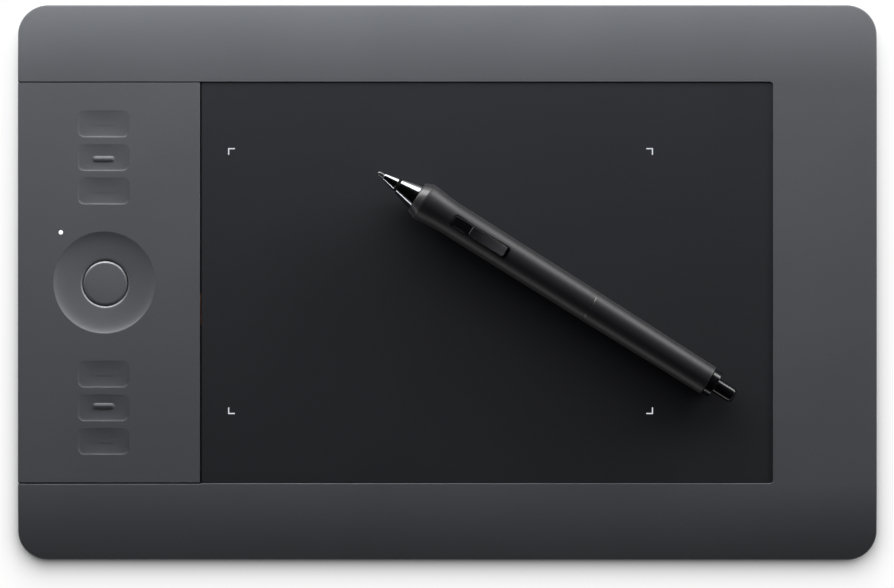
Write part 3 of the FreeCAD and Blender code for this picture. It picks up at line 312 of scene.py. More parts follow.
class Grain(Enum):
    """Kinds of fine relief that a finish can have."""

    SPARKED = "even fine pits, as moulded against a sparked tool"
    TOOTH = "paper-like bite with coarser flecks"
    BRUSHED = "fine lines along the pen"
    SPUN = "fine rings about the pen's axis"
    SMOOTH = "polished, with only a faint waviness"


PEN_HEADING = -32.2
GRAIN_STRETCH = {Grain.BRUSHED: (0.03, 1.0, 1.0), Grain.SPUN: (1.0, 0.02, 0.02)}
FLECK_DENSITY, FLECK_SHARE = 0.6, 0.3
SMOOTH_SPREAD = 12.0
WANDER_PITCH = 40.0
GLOSS_WANDER, GLOSS_GRAIN = 0.08, 0.06
SHEEN_ROUGHNESS = 0.35
TRACE_SHIFT = 0.35
TRACE_ROWS = {"Scale": 140.0, "Mortar Size": 0.06, "Brick Width": 0.9, "Row Height": 0.22}
CASE_SHADE: Rgb = (74, 76, 80)


@dataclass(frozen=True)
class Finish:
    """Surface of one material slot: shade, gloss and fine relief.

    Attributes:
        shade: Colour as it shows under plain light.
        drift: Share by which the shade wanders over the piece.
        roughness: Middle roughness.
        grain: Kind of relief.
        pitch: Size of the grain in millimetres.
        depth: Depth of the grain in millimetres.
        metal: 1 for metal and 0 for the rest.
        specular: Strength of the reflection of what isn't metal.
        coat: Weight of a clear gloss layer.
        coat_roughness: Its roughness.
        sheen: Weight of the soft shine that a velvety skin has along its edges.
    """

    shade: Rgb
    drift: float = 0.06
    roughness: float = 0.5
    grain: Grain = Grain.SPARKED
    pitch: float = 0.3
    depth: float = 0.004
    metal: float = 0.0
    specular: float = 0.5
    coat: float = 0.0
    coat_roughness: float = 0.06
    sheen: float = 0.0

    def relief(self, graph: Graph, place: Signal) -> Signal:
        """Build the fine relief.

        Args:
            graph: Tree that it is added to.
            place: Position on the piece.

        Returns:
            Heights from 0 to 1.
        """
        if self.grain is Grain.TOOTH:
            flecks = graph.signal("ShaderNodeTexVoronoi", {}, {
                "Vector": place, "Scale": FLECK_DENSITY / (self.pitch * MILLIMETRE)})
            return graph.noise(place, self.pitch, detail=4.0) * (1 - FLECK_SHARE) + flecks * FLECK_SHARE
        if self.grain in GRAIN_STRETCH:
            lined = graph.stretched(place, PEN_HEADING, GRAIN_STRETCH[self.grain])
            return graph.noise(lined, self.pitch, detail=3.0)
        if self.grain is Grain.SMOOTH:
            return graph.noise(place, SMOOTH_SPREAD * self.pitch, detail=1.0)
        return graph.noise(place, self.pitch)

    def metal_share(self, graph: Graph, place: Signal) -> Signal | float:
        """Build the metallic share."""
        return self.metal

    def coat_share(self, graph: Graph, place: Signal) -> Signal | float:
        """Build the weight of the clear gloss layer."""
        return self.coat

    def colour(self, graph: Graph, place: Signal, wander: Signal) -> Signal:
        """Build the base colour.

        Args:
            graph: Tree that it is added to.
            place: Position on the piece.
            wander: Slow noise over the piece.

        Returns:
            The colour.
        """
        base = shown(self.shade)
        return graph.mix(wander, scaled(base, 1 - self.drift), scaled(base, 1 + self.drift))

    def make(self, name: str) -> bpy.types.Material:
        """Build the material.

        Args:
            name: Name of the slot that it is for.

        Returns:
            The material.
        """
        material, graph = new_material(name)
        place = graph.place()
        wander = graph.noise(place, WANDER_PITCH, detail=3.0)
        relief = self.relief(graph, place)
        middle = (GLOSS_WANDER + GLOSS_GRAIN) / 2
        gloss = wander * GLOSS_WANDER + relief * GLOSS_GRAIN + (self.roughness - middle)
        shader = graph.signal("ShaderNodeBsdfPrincipled", {}, {
            "Base Color": self.colour(graph, place, wander),
            "Roughness": gloss.kept_to_one(),
            "Metallic": self.metal_share(graph, place),
            "Specular IOR Level": self.specular,
            "Coat Weight": self.coat_share(graph, place),
            "Coat Roughness": self.coat_roughness,
            "Sheen Weight": self.sheen,
            "Sheen Roughness": SHEEN_ROUGHNESS,
            "Normal": graph.bump(relief, self.depth),
        })
        graph.node("ShaderNodeOutputMaterial", {}, {"Surface": shader})
        return material


@dataclass(frozen=True)
class HighlightBandFinish(Finish):
    """Satin plastic with a partly metallic band of painted highlight on the bevels round the touch ring's
    button.

    Attributes:
        centre: Middle of the ring in millimetres.
        edge: Radius of the band.
        width: Half its width.
        painted_highlight: Lighter colour of the band, a painted highlight; its metal share also reflects the
            lamps.
        shine: How metallic the band is.
        spread: Half widths from the band's middle at which it has faded.
        crispness: How quickly it fades.
    """

    centre: Plan = (0.0, 0.0)
    edge: float = 8.4
    width: float = 0.2
    painted_highlight: Rgb = (150, 151, 155)
    shine: float = 1.0
    spread: float = 1.2
    crispness: float = 5.0

    def radius(self, graph: Graph, place: Signal, centre: Plan) -> Signal:
        """Build the distance in metres from an upright axis.

        Args:
            graph: Tree that it is added to.
            place: Position on the piece.
            centre: Where the axis stands, in millimetres.

        Returns:
            The distance.
        """
        across, rearward, _ = graph.axes(place)
        off_x, off_y = across - centre[0] * MILLIMETRE, rearward - centre[1] * MILLIMETRE
        return (off_x * off_x + off_y * off_y).root()

    def highlight_share(self, graph: Graph, place: Signal) -> Signal:
        """Give one on the band of painted highlight and nought elsewhere."""
        off = (self.radius(graph, place, self.centre) - self.edge * MILLIMETRE).size()
        return ((self.spread - off / (self.width * MILLIMETRE)) * self.crispness).kept_to_one()

    def metal_share(self, graph: Graph, place: Signal) -> Signal:
        """Make the band metallic."""
        return self.highlight_share(graph, place) * self.shine

    def ground(self, graph: Graph, place: Signal, wander: Signal) -> Signal:
        """Build the colour beside the band."""
        return super().colour(graph, place, wander)

    def colour(self, graph: Graph, place: Signal, wander: Signal) -> Signal:
        """Lighten the band with painted highlight."""
        ground = self.ground(graph, place, wander)
        return graph.mix(self.highlight_share(graph, place), ground, shown(self.painted_highlight))


@dataclass(frozen=True)
class PanelFinish(HighlightBandFinish):
    """Finish of the control panel, a little lighter in the touch ring's dish.

    Attributes:
        dish: Middle of the dish in millimetres.
        dish_radius: Its radius.
        dish_shade: Colour in the dish.
        dish_crispness: How quickly that colour starts at the rim.
    """

    dish: Plan = (0.0, 0.0)
    dish_radius: float = 18.95
    dish_shade: Rgb = (82, 84, 88)
    dish_crispness: float = 4.0

    def ground(self, graph: Graph, place: Signal, wander: Signal) -> Signal:
        """Lighten the dish."""
        inside = (self.dish_radius - self.radius(graph, place, self.dish) / MILLIMETRE) * self.dish_crispness
        return graph.mix(inside.kept_to_one(), super().ground(graph, place, wander), shown(self.dish_shade))


@dataclass(frozen=True)
class BoardFinish(Finish):
    """Solder mask with rows of traces under it.

    Attributes:
        trace: Colour of the traces through the mask.
    """

    trace: Rgb = (40, 105, 70)

    def colour(self, graph: Graph, place: Signal, wander: Signal) -> Signal:
        """Lay lighter traces under the mask."""
        rows = graph.signal("ShaderNodeTexBrick", {"offset": TRACE_SHIFT},
                            {"Vector": place, **TRACE_ROWS}, "Fac")
        return graph.mix(rows, shown(self.shade), shown(self.trace))


@dataclass(frozen=True)
class PadFinish(Finish):
    """Pad whose colour runs from near-black at its front to streaked grey at its rear.

    Attributes:
        front_shade: Colour at its front and between the streaks.
        front: Front end of the pad, in metres.
        direction: Direction from the pen's tip to its tail.
        length: Metres over which it turns grey.
        delay: Power with which it turns grey late.
        streak_pitch: Width of the brushed streaks in millimetres.
        streak_stretch: Factors of the streaks' pattern along the pen, across it and up.
    """

    front_shade: Rgb = (14, 14, 16)
    front: Vector = field(default_factory=Vector)
    direction: Vector = field(default_factory=Vector)
    length: float = 0.015
    delay: float = 1.3
    streak_pitch: float = 0.25
    streak_stretch: tuple[float, float, float] = (0.05, 1.0, 1.0)

    def colour(self, graph: Graph, place: Signal, wander: Signal) -> Signal:
        """Run from the front shade to the grey one, with streaks."""
        share = (graph.along(place, self.front, self.direction) / self.length).kept_to_one()
        lined = graph.stretched(place, PEN_HEADING, self.streak_stretch)
        streaks = graph.noise(lined, self.streak_pitch, detail=3.0)
        brushed = graph.mix(streaks, shown(self.front_shade), shown(self.shade))
        return graph.mix(share ** self.delay, shown(self.front_shade), brushed)


@dataclass(frozen=True)
class SkinFinish(Finish):
    """Soft skin of the pen, glossier on its front chamfer and at its seam.

    Attributes:
        front: Tip of the pen, in metres.
        direction: Direction from tip to tail.
        chamfer: Start and end of the front chamfer, in millimetres from the tip.
        seam: Start and end of the bevel at the seam.
        crispness: How quickly the gloss starts and ends.
    """

    front: Vector = field(default_factory=Vector)
    direction: Vector = field(default_factory=Vector)
    chamfer: Plan = (0.0, 1.0)
    seam: Plan = (0.0, 1.0)
    crispness: float = 8.0

    def span_share(self, along: Signal, span: Plan) -> Signal:
        """Give one on a span of the pen and nought elsewhere."""
        start, end = span
        inside = (end - start) / 2 - (along - (start + end) / 2).size()
        return (inside * (self.crispness / (end - start))).kept_to_one()

    def coat_share(self, graph: Graph, place: Signal) -> Signal:
        """Give one on both glossy spans and nought elsewhere."""
        along = graph.along(place, self.front, self.direction) / MILLIMETRE
        return self.span_share(along, self.chamfer).highest(self.span_share(along, self.seam))


@dataclass(frozen=True)
class GlowFinish(Finish):
    """Lit window that is a little dimmer in places.

    Attributes:
        pitch: Size of the dimmer places in millimetres.
        strength: Strength of its glow.
        dimmest: Share of the light that is left in the dimmer places.
        body: Share of its colour that it shows unlit.
    """

    pitch: float = 0.8
    strength: float = 1.0
    dimmest: float = 0.86
    body: float = 0.15

    def make(self, name: str) -> bpy.types.Material:
        """Build the material.

        Args:
            name: Name of the slot that it is for.

        Returns:
            The material.
        """
        material, graph = new_material(name)
        wander = graph.noise(graph.place(), self.pitch)
        lit = shown(self.shade)
        dim = scaled(lit, self.dimmest)
        shader = graph.signal("ShaderNodeBsdfPrincipled", {}, {
            "Base Color": graph.mix(wander, scaled(dim, self.body), scaled(lit, self.body)),
            "Roughness": self.roughness,
            "Emission Color": graph.mix(wander, dim, lit),
            "Emission Strength": self.strength,
        })
        graph.node("ShaderNodeOutputMaterial", {}, {"Surface": shader})
        return material


# Forms

def rounded_outline(half_x: float, half_y: float, radius: float, corner_steps: int = 8,
                    side_steps: int = 1) -> list[Plan]:
    """Give the points of a rounded rectangle about the origin, anticlockwise.

    Args:
        half_x: Half its length.
        half_y: Half its width.
        radius: Corner radius.
        corner_steps: Facets of each corner.
        side_steps: Parts that each straight side is divided into.

    Returns:
        The points, starting at the lower end of the right-hand upper corner.
    """
    corners = []
    for turn, (way_x, way_y) in enumerate(((1, 1), (-1, 1), (-1, -1), (1, -1))):
        centre_x = way_x * (half_x - radius)
        centre_y = way_y * (half_y - radius)
        angles = [math.pi / 2 * (turn + step / corner_steps) for step in range(corner_steps + 1)]
        corners.append([(centre_x + radius * math.cos(a), centre_y + radius * math.sin(a)) for a in angles])
    points = []
    for corner, following in zip(corners, corners[1:] + corners[:1]):
        points += corner
        (x0, y0), (x1, y1) = corner[-1], following[0]
        for step in range(1, side_steps):
            share = step / side_steps
            points.append((x0 + share * (x1 - x0), y0 + share * (y1 - y0)))
    return points


def quarter_round(steps: int) -> list[Plan]:
    """Give the shares of a rounded edge from its flat side to its wall.

    Args:
        steps: Number of facets.

    Returns:
        Pairs of the share of the inset that is left and the share of the drop that is done.
    """
    angles = [math.pi / 2 * step / steps for step in range(steps + 1)]
    return [(1 - math.sin(angle), 1 - math.cos(angle)) for angle in angles]


class Form:
    """A mesh under construction, with lengths in millimetres."""

    def __init__(self) -> None:
        """Start an empty mesh."""
        self.mesh = bmesh.new()

    def loop(self, points: Iterable[Sequence[float]]) -> Loop:
        """Add a vertex for each point."""
        return [self.mesh.verts.new(point) for point in points]

    def skin(self, first: Loop, second: Loop, closed: bool = True) -> None:
        """Join two loops of equal length with quads.

        Args:
            first: One loop.
            second: The other loop.
            closed: Whether the loops run round to their start.
        """
        count = len(first) if closed else len(first) - 1
        for number in range(count):
            after = (number + 1) % len(first)
            self.mesh.faces.new((first[number], first[after], second[after], second[number]))

    def stack(self, loops: Sequence[Loop]) -> None:
        """Join each loop to the next."""
        for first, second in zip(loops, loops[1:]):
            self.skin(first, second)

    def face(self, corners: Sequence[bmesh.types.BMVert]) -> None:
        """Close a loop with one face."""
        self.mesh.faces.new(corners)

    def fill(self, loops: Iterable[Loop]) -> None:
        """Fill a flat outline with holes.

        Args:
            loops: The outline and the holes.
        """
        edges = []
        for loop in loops:
            for first, second in zip(loop, loop[1:] + loop[:1]):
                edges.append(self.mesh.edges.get((first, second)) or self.mesh.edges.new((first, second)))
        bmesh.ops.triangle_fill(self.mesh, use_beauty=True, edges=edges, normal=(0, 0, 1))

    def solid(self, loops: Sequence[Loop]) -> None:
        """Join each loop to the next and close both ends."""
        self.stack(loops)
        self.face(loops[0][::-1])
        self.face(loops[-1])

    def plate(self, outline: Callable[[float], list[Plan]], levels: Levels,
              centre: Plan = (0.0, 0.0)) -> None:
        """Build a closed plate from levels of one outline.

        Args:
            outline: Gives the outline set in by a distance.
            levels: Pairs of inset and height, from the bottom to the top.
            centre: Middle of the plate.
        """
        self.solid([self.loop((centre[0] + x, centre[1] + y, height) for x, y in outline(inset))
                    for inset, height in levels])

    def turned(self, profile: Levels, steps: int = 128, closed: bool = True) -> None:
        """Turn a profile about the X axis.

        Args:
            profile: Pairs of place along X and radius; a radius of nought closes the end.
            steps: Facets round the axis.
            closed: Whether the last point joins the first.
        """
        turns = [2 * math.pi * step / steps for step in range(steps)]
        rings = []
        for place, radius in profile:
            if radius == 0:
                rings.append(self.loop([(place, 0, 0)]))
            else:
                rings.append(self.loop((place, radius * math.cos(a), radius * math.sin(a)) for a in turns))
        following = rings[1:] + rings[:1] if closed else rings[1:]
        for first, second in zip(rings, following):
            if min(len(first), len(second)) > 1:
                self.skin(first, second)
                continue
            tip, ring = (first[0], second) if len(first) == 1 else (second[0], first)
            for corner, after in zip(ring, ring[1:] + ring[:1]):
                self.mesh.faces.new((tip, corner, after))

    def write(self, name: str, finish: bpy.types.Material, place: Matrix | None = None,
              sharp: float = CRISP_ANGLE) -> bpy.types.Object:
        """Write the mesh out as an object, in metres.

        Args:
            name: Name of the piece.
            finish: Its material.
            place: Where the form goes, in millimetres.
            sharp: Degrees above which an edge stays crisp.

        Returns:
            The object.
        """
        bmesh.ops.remove_doubles(self.mesh, verts=self.mesh.verts, dist=MERGE_REACH)
        bmesh.ops.recalc_face_normals(self.mesh, faces=self.mesh.faces)
        self.mesh.transform(Matrix.Scale(MILLIMETRE, 4) @ (place or Matrix.Identity(4)))
        data = bpy.data.meshes.new(name)
        self.mesh.to_mesh(data)
        self.mesh.free()
        data.materials.append(finish)
        piece = bpy.data.objects.new(name, data)
        bpy.context.scene.collection.objects.link(piece)
        settle_shading(piece, sharp)
        return piece


def settle_shading(piece: bpy.types.Object, sharp: float = CRISP_ANGLE) -> None:
    """Shade a piece smooth between its crisp edges, with broad faces kept flat.

    Args:
        piece: The object.
        sharp: Degrees above which an edge stays crisp.
    """
    piece.data.shade_smooth()
    piece.data.set_sharp_from_angle(angle=math.radians(sharp))
    even = piece.modifiers.new("even", "WEIGHTED_NORMAL")
    even.keep_sharp = True
    even.weight = BROAD_FACE_WEIGHT


def carve(piece: bpy.types.Object, cutter: Form, place: Matrix | None = None) -> None:
    """Cut a form out of a piece.

    Args:
        piece: The object that is cut.
        cutter: What is taken away.
        place: Where the cutter goes, in millimetres.
    """
    tool = cutter.write(piece.name + "_cutter", piece.data.materials[0], place)
    piece.modifiers.clear()
    cut = piece.modifiers.new("cut", "BOOLEAN")
    cut.operation = "DIFFERENCE"
    cut.solver = "EXACT"
    cut.object = tool
    bpy.context.view_layer.update()
    shape = bpy.data.meshes.new_from_object(piece.evaluated_get(bpy.context.evaluated_depsgraph_get()))
    piece.modifiers.clear()
    old = piece.data
    piece.data = shape
    shape.name = piece.name
    bpy.data.meshes.remove(old)
    bpy.data.objects.remove(tool)
    settle_shading(piece)


def stand_in(piece: bpy.types.Object, *nodes: str) -> None:
    """Let a piece stand for CAD nodes, on the body of the first.

    Args:
        piece: The object.
        nodes: Names of the nodes.
    """
    groups = frame["record"]["behaviour"]["bodies"]
    body = next(name for name, members in groups.items() if nodes[0] in members)
    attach(piece, body)
    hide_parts(*nodes)
    log.info("%s rides on %s with %d faces", piece.name, body, len(piece.data.polygons))


class Finishes:
    """Every finish of the tablet and the pen, one for each slot of the record."""

    def __init__(self, pen: "Pen", ring: "TouchRing") -> None:
        """Make the materials.

        Args:
            pen: The pen, for the places of its glossy chamfer and seam and of its pads.
            ring: The touch ring, for the places of its bands of painted highlight.
        """
        kinds = {
            "case_satin": Finish(CASE_SHADE, roughness=0.42),
            "key_satin": Finish(CASE_SHADE, roughness=0.42),
            # The button's bevel gets a lighter band of painted highlight.
            "button_satin": HighlightBandFinish((84, 86, 90), roughness=0.4, centre=ring.middle(),
                                          edge=ring.button - ring.chamfer / 2, width=ring.chamfer / 2,
                                          painted_highlight=(132, 133, 137), shine=0.6),
            "drawing_surface": Finish((27, 28, 33), 0.04, 0.62, Grain.TOOTH, 0.35, 0.012, specular=0.35),
            "lit_mark": GlowFinish((216, 220, 228), roughness=0.4),
            "clear_guide": Finish((205, 208, 214), 0.03, 0.15, Grain.SMOOTH),
            "underside_plastic": Finish((46, 46, 49), roughness=0.6, pitch=0.5, depth=0.02),
            "foot_rubber": Finish((40, 40, 42), 0.1, 0.85, Grain.TOOTH, 0.6, 0.03, specular=0.2),
            "switch_black": Finish((38, 38, 41), roughness=0.5),
            "plated_steel": Finish((188, 190, 195), 0.05, 0.25, Grain.SMOOTH, metal=1.0),
            "screw_steel": Finish((150, 152, 158), 0.08, 0.32, Grain.SMOOTH, metal=1.0),
            "circuit_board": BoardFinish((16, 62, 44), roughness=0.3, grain=Grain.SMOOTH, depth=0.01),
            "polyimide_film": Finish((176, 104, 36), 0.08, 0.3, Grain.SMOOTH),
            "component_black": Finish((34, 34, 36), 0.1, 0.6),
            "led_body": Finish((225, 222, 205), 0.04, 0.35),
            "contact_gold": Finish((212, 175, 96), 0.06, 0.25, Grain.SMOOTH, metal=1.0),
            "shield_aluminium": Finish((170, 172, 176), 0.05, 0.38, Grain.TOOTH, 0.8, 0.006, metal=1.0),
            "nose_chrome": Finish((140, 141, 145), 0.03, 0.12, Grain.SPUN, 0.12, 0.0012, metal=1.0),
            "ring_black": Finish((7, 7, 8), roughness=0.6, specular=0.1),
            "soft_grip": SkinFinish((17, 17, 20), 0.08, 0.47, Grain.SPARKED, 0.2, 0.003, specular=0.34,
                                    coat_roughness=0.27, sheen=0.1, front=pen.at(0.0),
                                    direction=pen.direction(), chamfer=pen.chamfer, seam=pen.seam_span()),
            "gloss_black": Finish((8, 8, 10), 0.05, 0.19, Grain.SMOOTH, specular=0.22),
            "surround_black": Finish((6, 6, 8), 0.05, 0.6, Grain.SMOOTH, specular=0.15),
            "pad_gloss": Finish((8, 8, 10), 0.05, 0.1, Grain.SMOOTH, specular=0.6),
            "pad_brushed": PadFinish((76, 76, 80), 0.05, 0.26, Grain.BRUSHED, 0.12, 0.003,
                                     front=pen.at(pen.pads[1][0]), direction=pen.direction()),
            "rocker_black": Finish((16, 16, 18), roughness=0.5),
            "nib_grey": Finish((44, 44, 47), 0.06, 0.14, Grain.SMOOTH, specular=0.9, coat=0.6),
            "ferrite": Finish((52, 50, 52), 0.1, 0.6, Grain.TOOTH),
            "copper_coil": Finish((184, 104, 62), 0.08, 0.3, Grain.SPUN, 0.2, 0.02, metal=1.0),
            "tray_plastic": Finish((52, 53, 57), roughness=0.5),
        }
        self.materials = {slot: kind.make(slot) for slot, kind in kinds.items()}
        # The lip of the button's hole gets a lighter band of painted highlight.
        panel = PanelFinish(CASE_SHADE, roughness=0.42, centre=ring.middle(),
                            edge=ring.hole + ring.lip / 2, width=ring.lip / 2,
                            painted_highlight=(116, 117, 121), shine=0.42, dish=ring.centre, dish_radius=ring.radius)
        self.panel = panel.make("case_satin_panel")
        self.lens = GlowFinish((250, 252, 255), roughness=0.3, strength=1.2).make("lit_lens")

    def __getitem__(self, slot: str) -> bpy.types.Material:
        """Give the material of a slot."""
        return self.materials[slot]

    def dress_frame(self) -> None:
        """Give every carried-over CAD node its finish."""
        for node in frame["nodes"].values():
            for holder in node.material_slots:
                holder.material = self.materials[holder.material.name.split(".")[0]]


# Tablet

@dataclass(frozen=True)
class EdgePoint:
    """Point of a wall's plan with the way its rounded top edge runs in.

    Attributes:
        x: Place across.
        y: Place towards the rear.
        inset_x: How far the edge runs in across.
        inset_y: How far the edge runs in towards the rear.
        drop: How far the rounded edge falls.
    """

    x: float
    y: float
    inset_x: float
    inset_y: float
    drop: float


@dataclass
class Case:
    """Bezel, control panel and underside of the tablet.

    Attributes:
        half_width: Half the tablet's width.
        half_depth: Half the tablet's depth.
        top: Height of the flat top.
        parting: Height of the line where the bottom cover meets the upper case.
        corner: Plan radius of the four corners.
        rim: Rounding of the outer top edge.
        rear_seam: Where the opening for the panel and the sheet ends at the rear.
        front_seam: Where it ends at the front of the sheet.
        panel_seam: Where it ends at the front of the panel.
        seam_step: Where the front seam steps from one to the other.
        band_start: Where the bands begin to fall.
        band_fall: How far they fall at the edge.
        notch_right: Right end of the sheet's opening.
        notch_corner: Corner radius of that opening.
        rear_edge: Rounding of the opening's rear edge.
        side_edge: Rounding of its right edge.
        front_edge: Rounding of its front edge, which catches the light.
        panel_right: Right edge of the control panel.
        panel_half: Half the depth of the control panel, rear and front.
        panel_edge: Rounding of the panel's inner edges.
        foot_bevel: Height of the small bevel at the foot of a wall.
        foot_share: Share of the top edge's rounding by which that bevel runs in.
        edge_steps: Facets of a rounded top edge.
        band_rows: Rows of faces along a band's straight part.
        corner_steps: Facets of a corner of the tablet.
        notch_steps: Facets of a corner of the sheet's opening.
    """

    half_width: float = 160.0
    half_depth: float = 103.5
    top: float = 12.0
    parting: float = 5.0
    corner: float = 11.0
    rim: float = 0.5
    rear_seam: float = 74.8
    front_seam: float = 74.78
    panel_seam: float = 74.97
    seam_step: float = -91.85
    band_start: float = 74.75
    band_fall: float = 3.8
    notch_right: float = 121.25
    notch_corner: float = 1.3
    rear_edge: float = 0.12
    side_edge: float = 0.25
    front_edge: float = 0.33
    panel_right: float = -92.2
    panel_half: Plan = (74.45, 74.5)
    panel_edge: float = 0.12
    foot_bevel: float = 0.15
    foot_share: float = 0.25
    edge_steps: int = 6
    band_rows: int = 16
    corner_steps: int = 24
    notch_steps: int = 8

    def height(self, y: float) -> float:
        """Height of the outer skin at a distance from the middle."""
        reach = self.half_depth - self.band_start
        radius = (reach ** 2 + self.band_fall ** 2) / (2 * self.band_fall)
        distance = max(0.0, abs(y) - self.band_start)
        return self.top - radius + math.sqrt(radius ** 2 - distance ** 2)

    def wall_loops(self, form: Form, points: Sequence[EdgePoint], low: float) -> list[Loop]:
        """Build the rounded top edge and the wall below it.

        Args:
            form: Mesh that they are added to.
            points: Plan of the wall.
            low: Height of the wall's foot.

        Returns:
            The loops from the top of the edge to the foot.
        """
        loops = []
        for left, fallen in quarter_round(self.edge_steps):
            loops.append(form.loop((p.x + left * p.inset_x, p.y + left * p.inset_y,
                                    self.height(p.y + left * p.inset_y) - fallen * p.drop) for p in points))
        loops.append(form.loop((p.x, p.y, low + self.foot_bevel) for p in points))
        loops.append(form.loop((p.x + self.foot_share * p.inset_x, p.y + self.foot_share * p.inset_y, low)
                               for p in points))
        form.stack(loops)
        return loops

    def band_side(self, way_x: int, way_y: int) -> list[EdgePoint]:
        """Outer wall points of one band from the seam round to the end of its corner.

        Args:
            way_x: 1 for the right side and -1 for the left.
            way_y: 1 for the rear band and -1 for the front.

        Returns:
            The points.
        """
        turn_y = self.half_depth - self.corner
        edge = self.rear_edge if way_y > 0 else self.front_edge
        seam = self.rear_seam if way_y > 0 else self.front_seam if way_x > 0 else self.panel_seam
        seam += edge if way_x > 0 else 0.0
        inset_y = edge if way_x < 0 else 0.0
        points = []
        for step in range(self.band_rows):
            y = seam + (turn_y - seam) * step / self.band_rows
            points.append(EdgePoint(way_x * self.half_width, way_y * y, -way_x * self.rim,
                                    way_y * inset_y if step == 0 else 0.0, self.rim))
        for step in range(self.corner_steps + 1):
            angle = math.pi / 2 * step / self.corner_steps
            out_x, out_y = way_x * math.cos(angle), way_y * math.sin(angle)
            points.append(EdgePoint(way_x * (self.half_width - self.corner) + self.corner * out_x,
                                    way_y * turn_y + self.corner * out_y,
                                    -self.rim * out_x, -self.rim * out_y, self.rim))
        return points

    def notch_side(self, way_y: int) -> list[EdgePoint]:
        """Corner of the sheet's opening at its right end.

        Args:
            way_y: 1 for the rear corner and -1 for the front one.

        Returns:
            The points from the seam to the opening's right side.
        """
        seam = self.rear_seam if way_y > 0 else self.front_seam
        end_edge = self.rear_edge if way_y > 0 else self.front_edge
        centre_x = self.notch_right - self.notch_corner
        centre_y = way_y * (seam - self.notch_corner)
        points = []
        for step in range(self.notch_steps + 1):
            angle = math.pi / 2 * (1 - step / self.notch_steps)
            out_x, out_y = math.cos(angle), way_y * math.sin(angle)
            edge = self.side_edge + (end_edge - self.side_edge) * math.sin(angle)
            points.append(EdgePoint(centre_x + self.notch_corner * out_x,
                                    centre_y + self.notch_corner * out_y, edge * out_x, edge * out_y, edge))
        return points

    def bezel(self, finish: bpy.types.Material) -> bpy.types.Object:
        """Build the bezel: both bands and the right margin in one piece."""
        front_left, front_right = self.band_side(-1, -1), self.band_side(1, -1)
        rear_right, rear_left = self.band_side(1, 1), self.band_side(-1, 1)
        rear_notch, front_notch = self.notch_side(1), self.notch_side(-1)
        form = Form()
        edge = self.front_edge
        step = [EdgePoint(self.seam_step, -y, edge, -edge, edge)
                for y in (self.front_seam, self.panel_seam)]
        plan = (front_left + front_right[::-1] + rear_right + rear_left[::-1] + rear_notch + front_notch[::-1]
                + step)
        loops = self.wall_loops(form, plan, self.parting)
        top = loops[0]
        rows = len(front_left)
        lower_left, lower_right = top[:rows], top[rows:2 * rows][::-1]
        upper_right, upper_left = top[2 * rows:3 * rows], top[3 * rows:4 * rows][::-1]
        notch, (step_sheet, step_panel) = top[4 * rows:-2], top[-2:]
        start, end = notch[0], notch[-1]
        form.face([upper_left[0], start, upper_right[0], upper_right[1], upper_left[1]])
        form.face([lower_left[0], step_panel, step_sheet, end, lower_right[0], lower_right[1], lower_left[1]])
        for row in range(1, rows - 1):
            form.face([upper_left[row], upper_right[row], upper_right[row + 1], upper_left[row + 1]])
            form.face([lower_left[row], lower_right[row], lower_right[row + 1], lower_left[row + 1]])
        form.face([upper_right[0]] + notch + [lower_right[0]])
        form.face(loops[-1])
        return form.write("bezel", finish)

    def panel_plan(self) -> list[EdgePoint]:
        """Plan of the control panel, anticlockwise."""
        left, right, edge = -self.half_width, self.panel_right, self.panel_edge
        rear, front = self.panel_half
        return [EdgePoint(left, -front, self.rim, edge, self.rim),
                EdgePoint(right, -front, -edge, edge, edge),
                EdgePoint(right, rear, -edge, -edge, edge),
                EdgePoint(left, rear, self.rim, -edge, self.rim)]


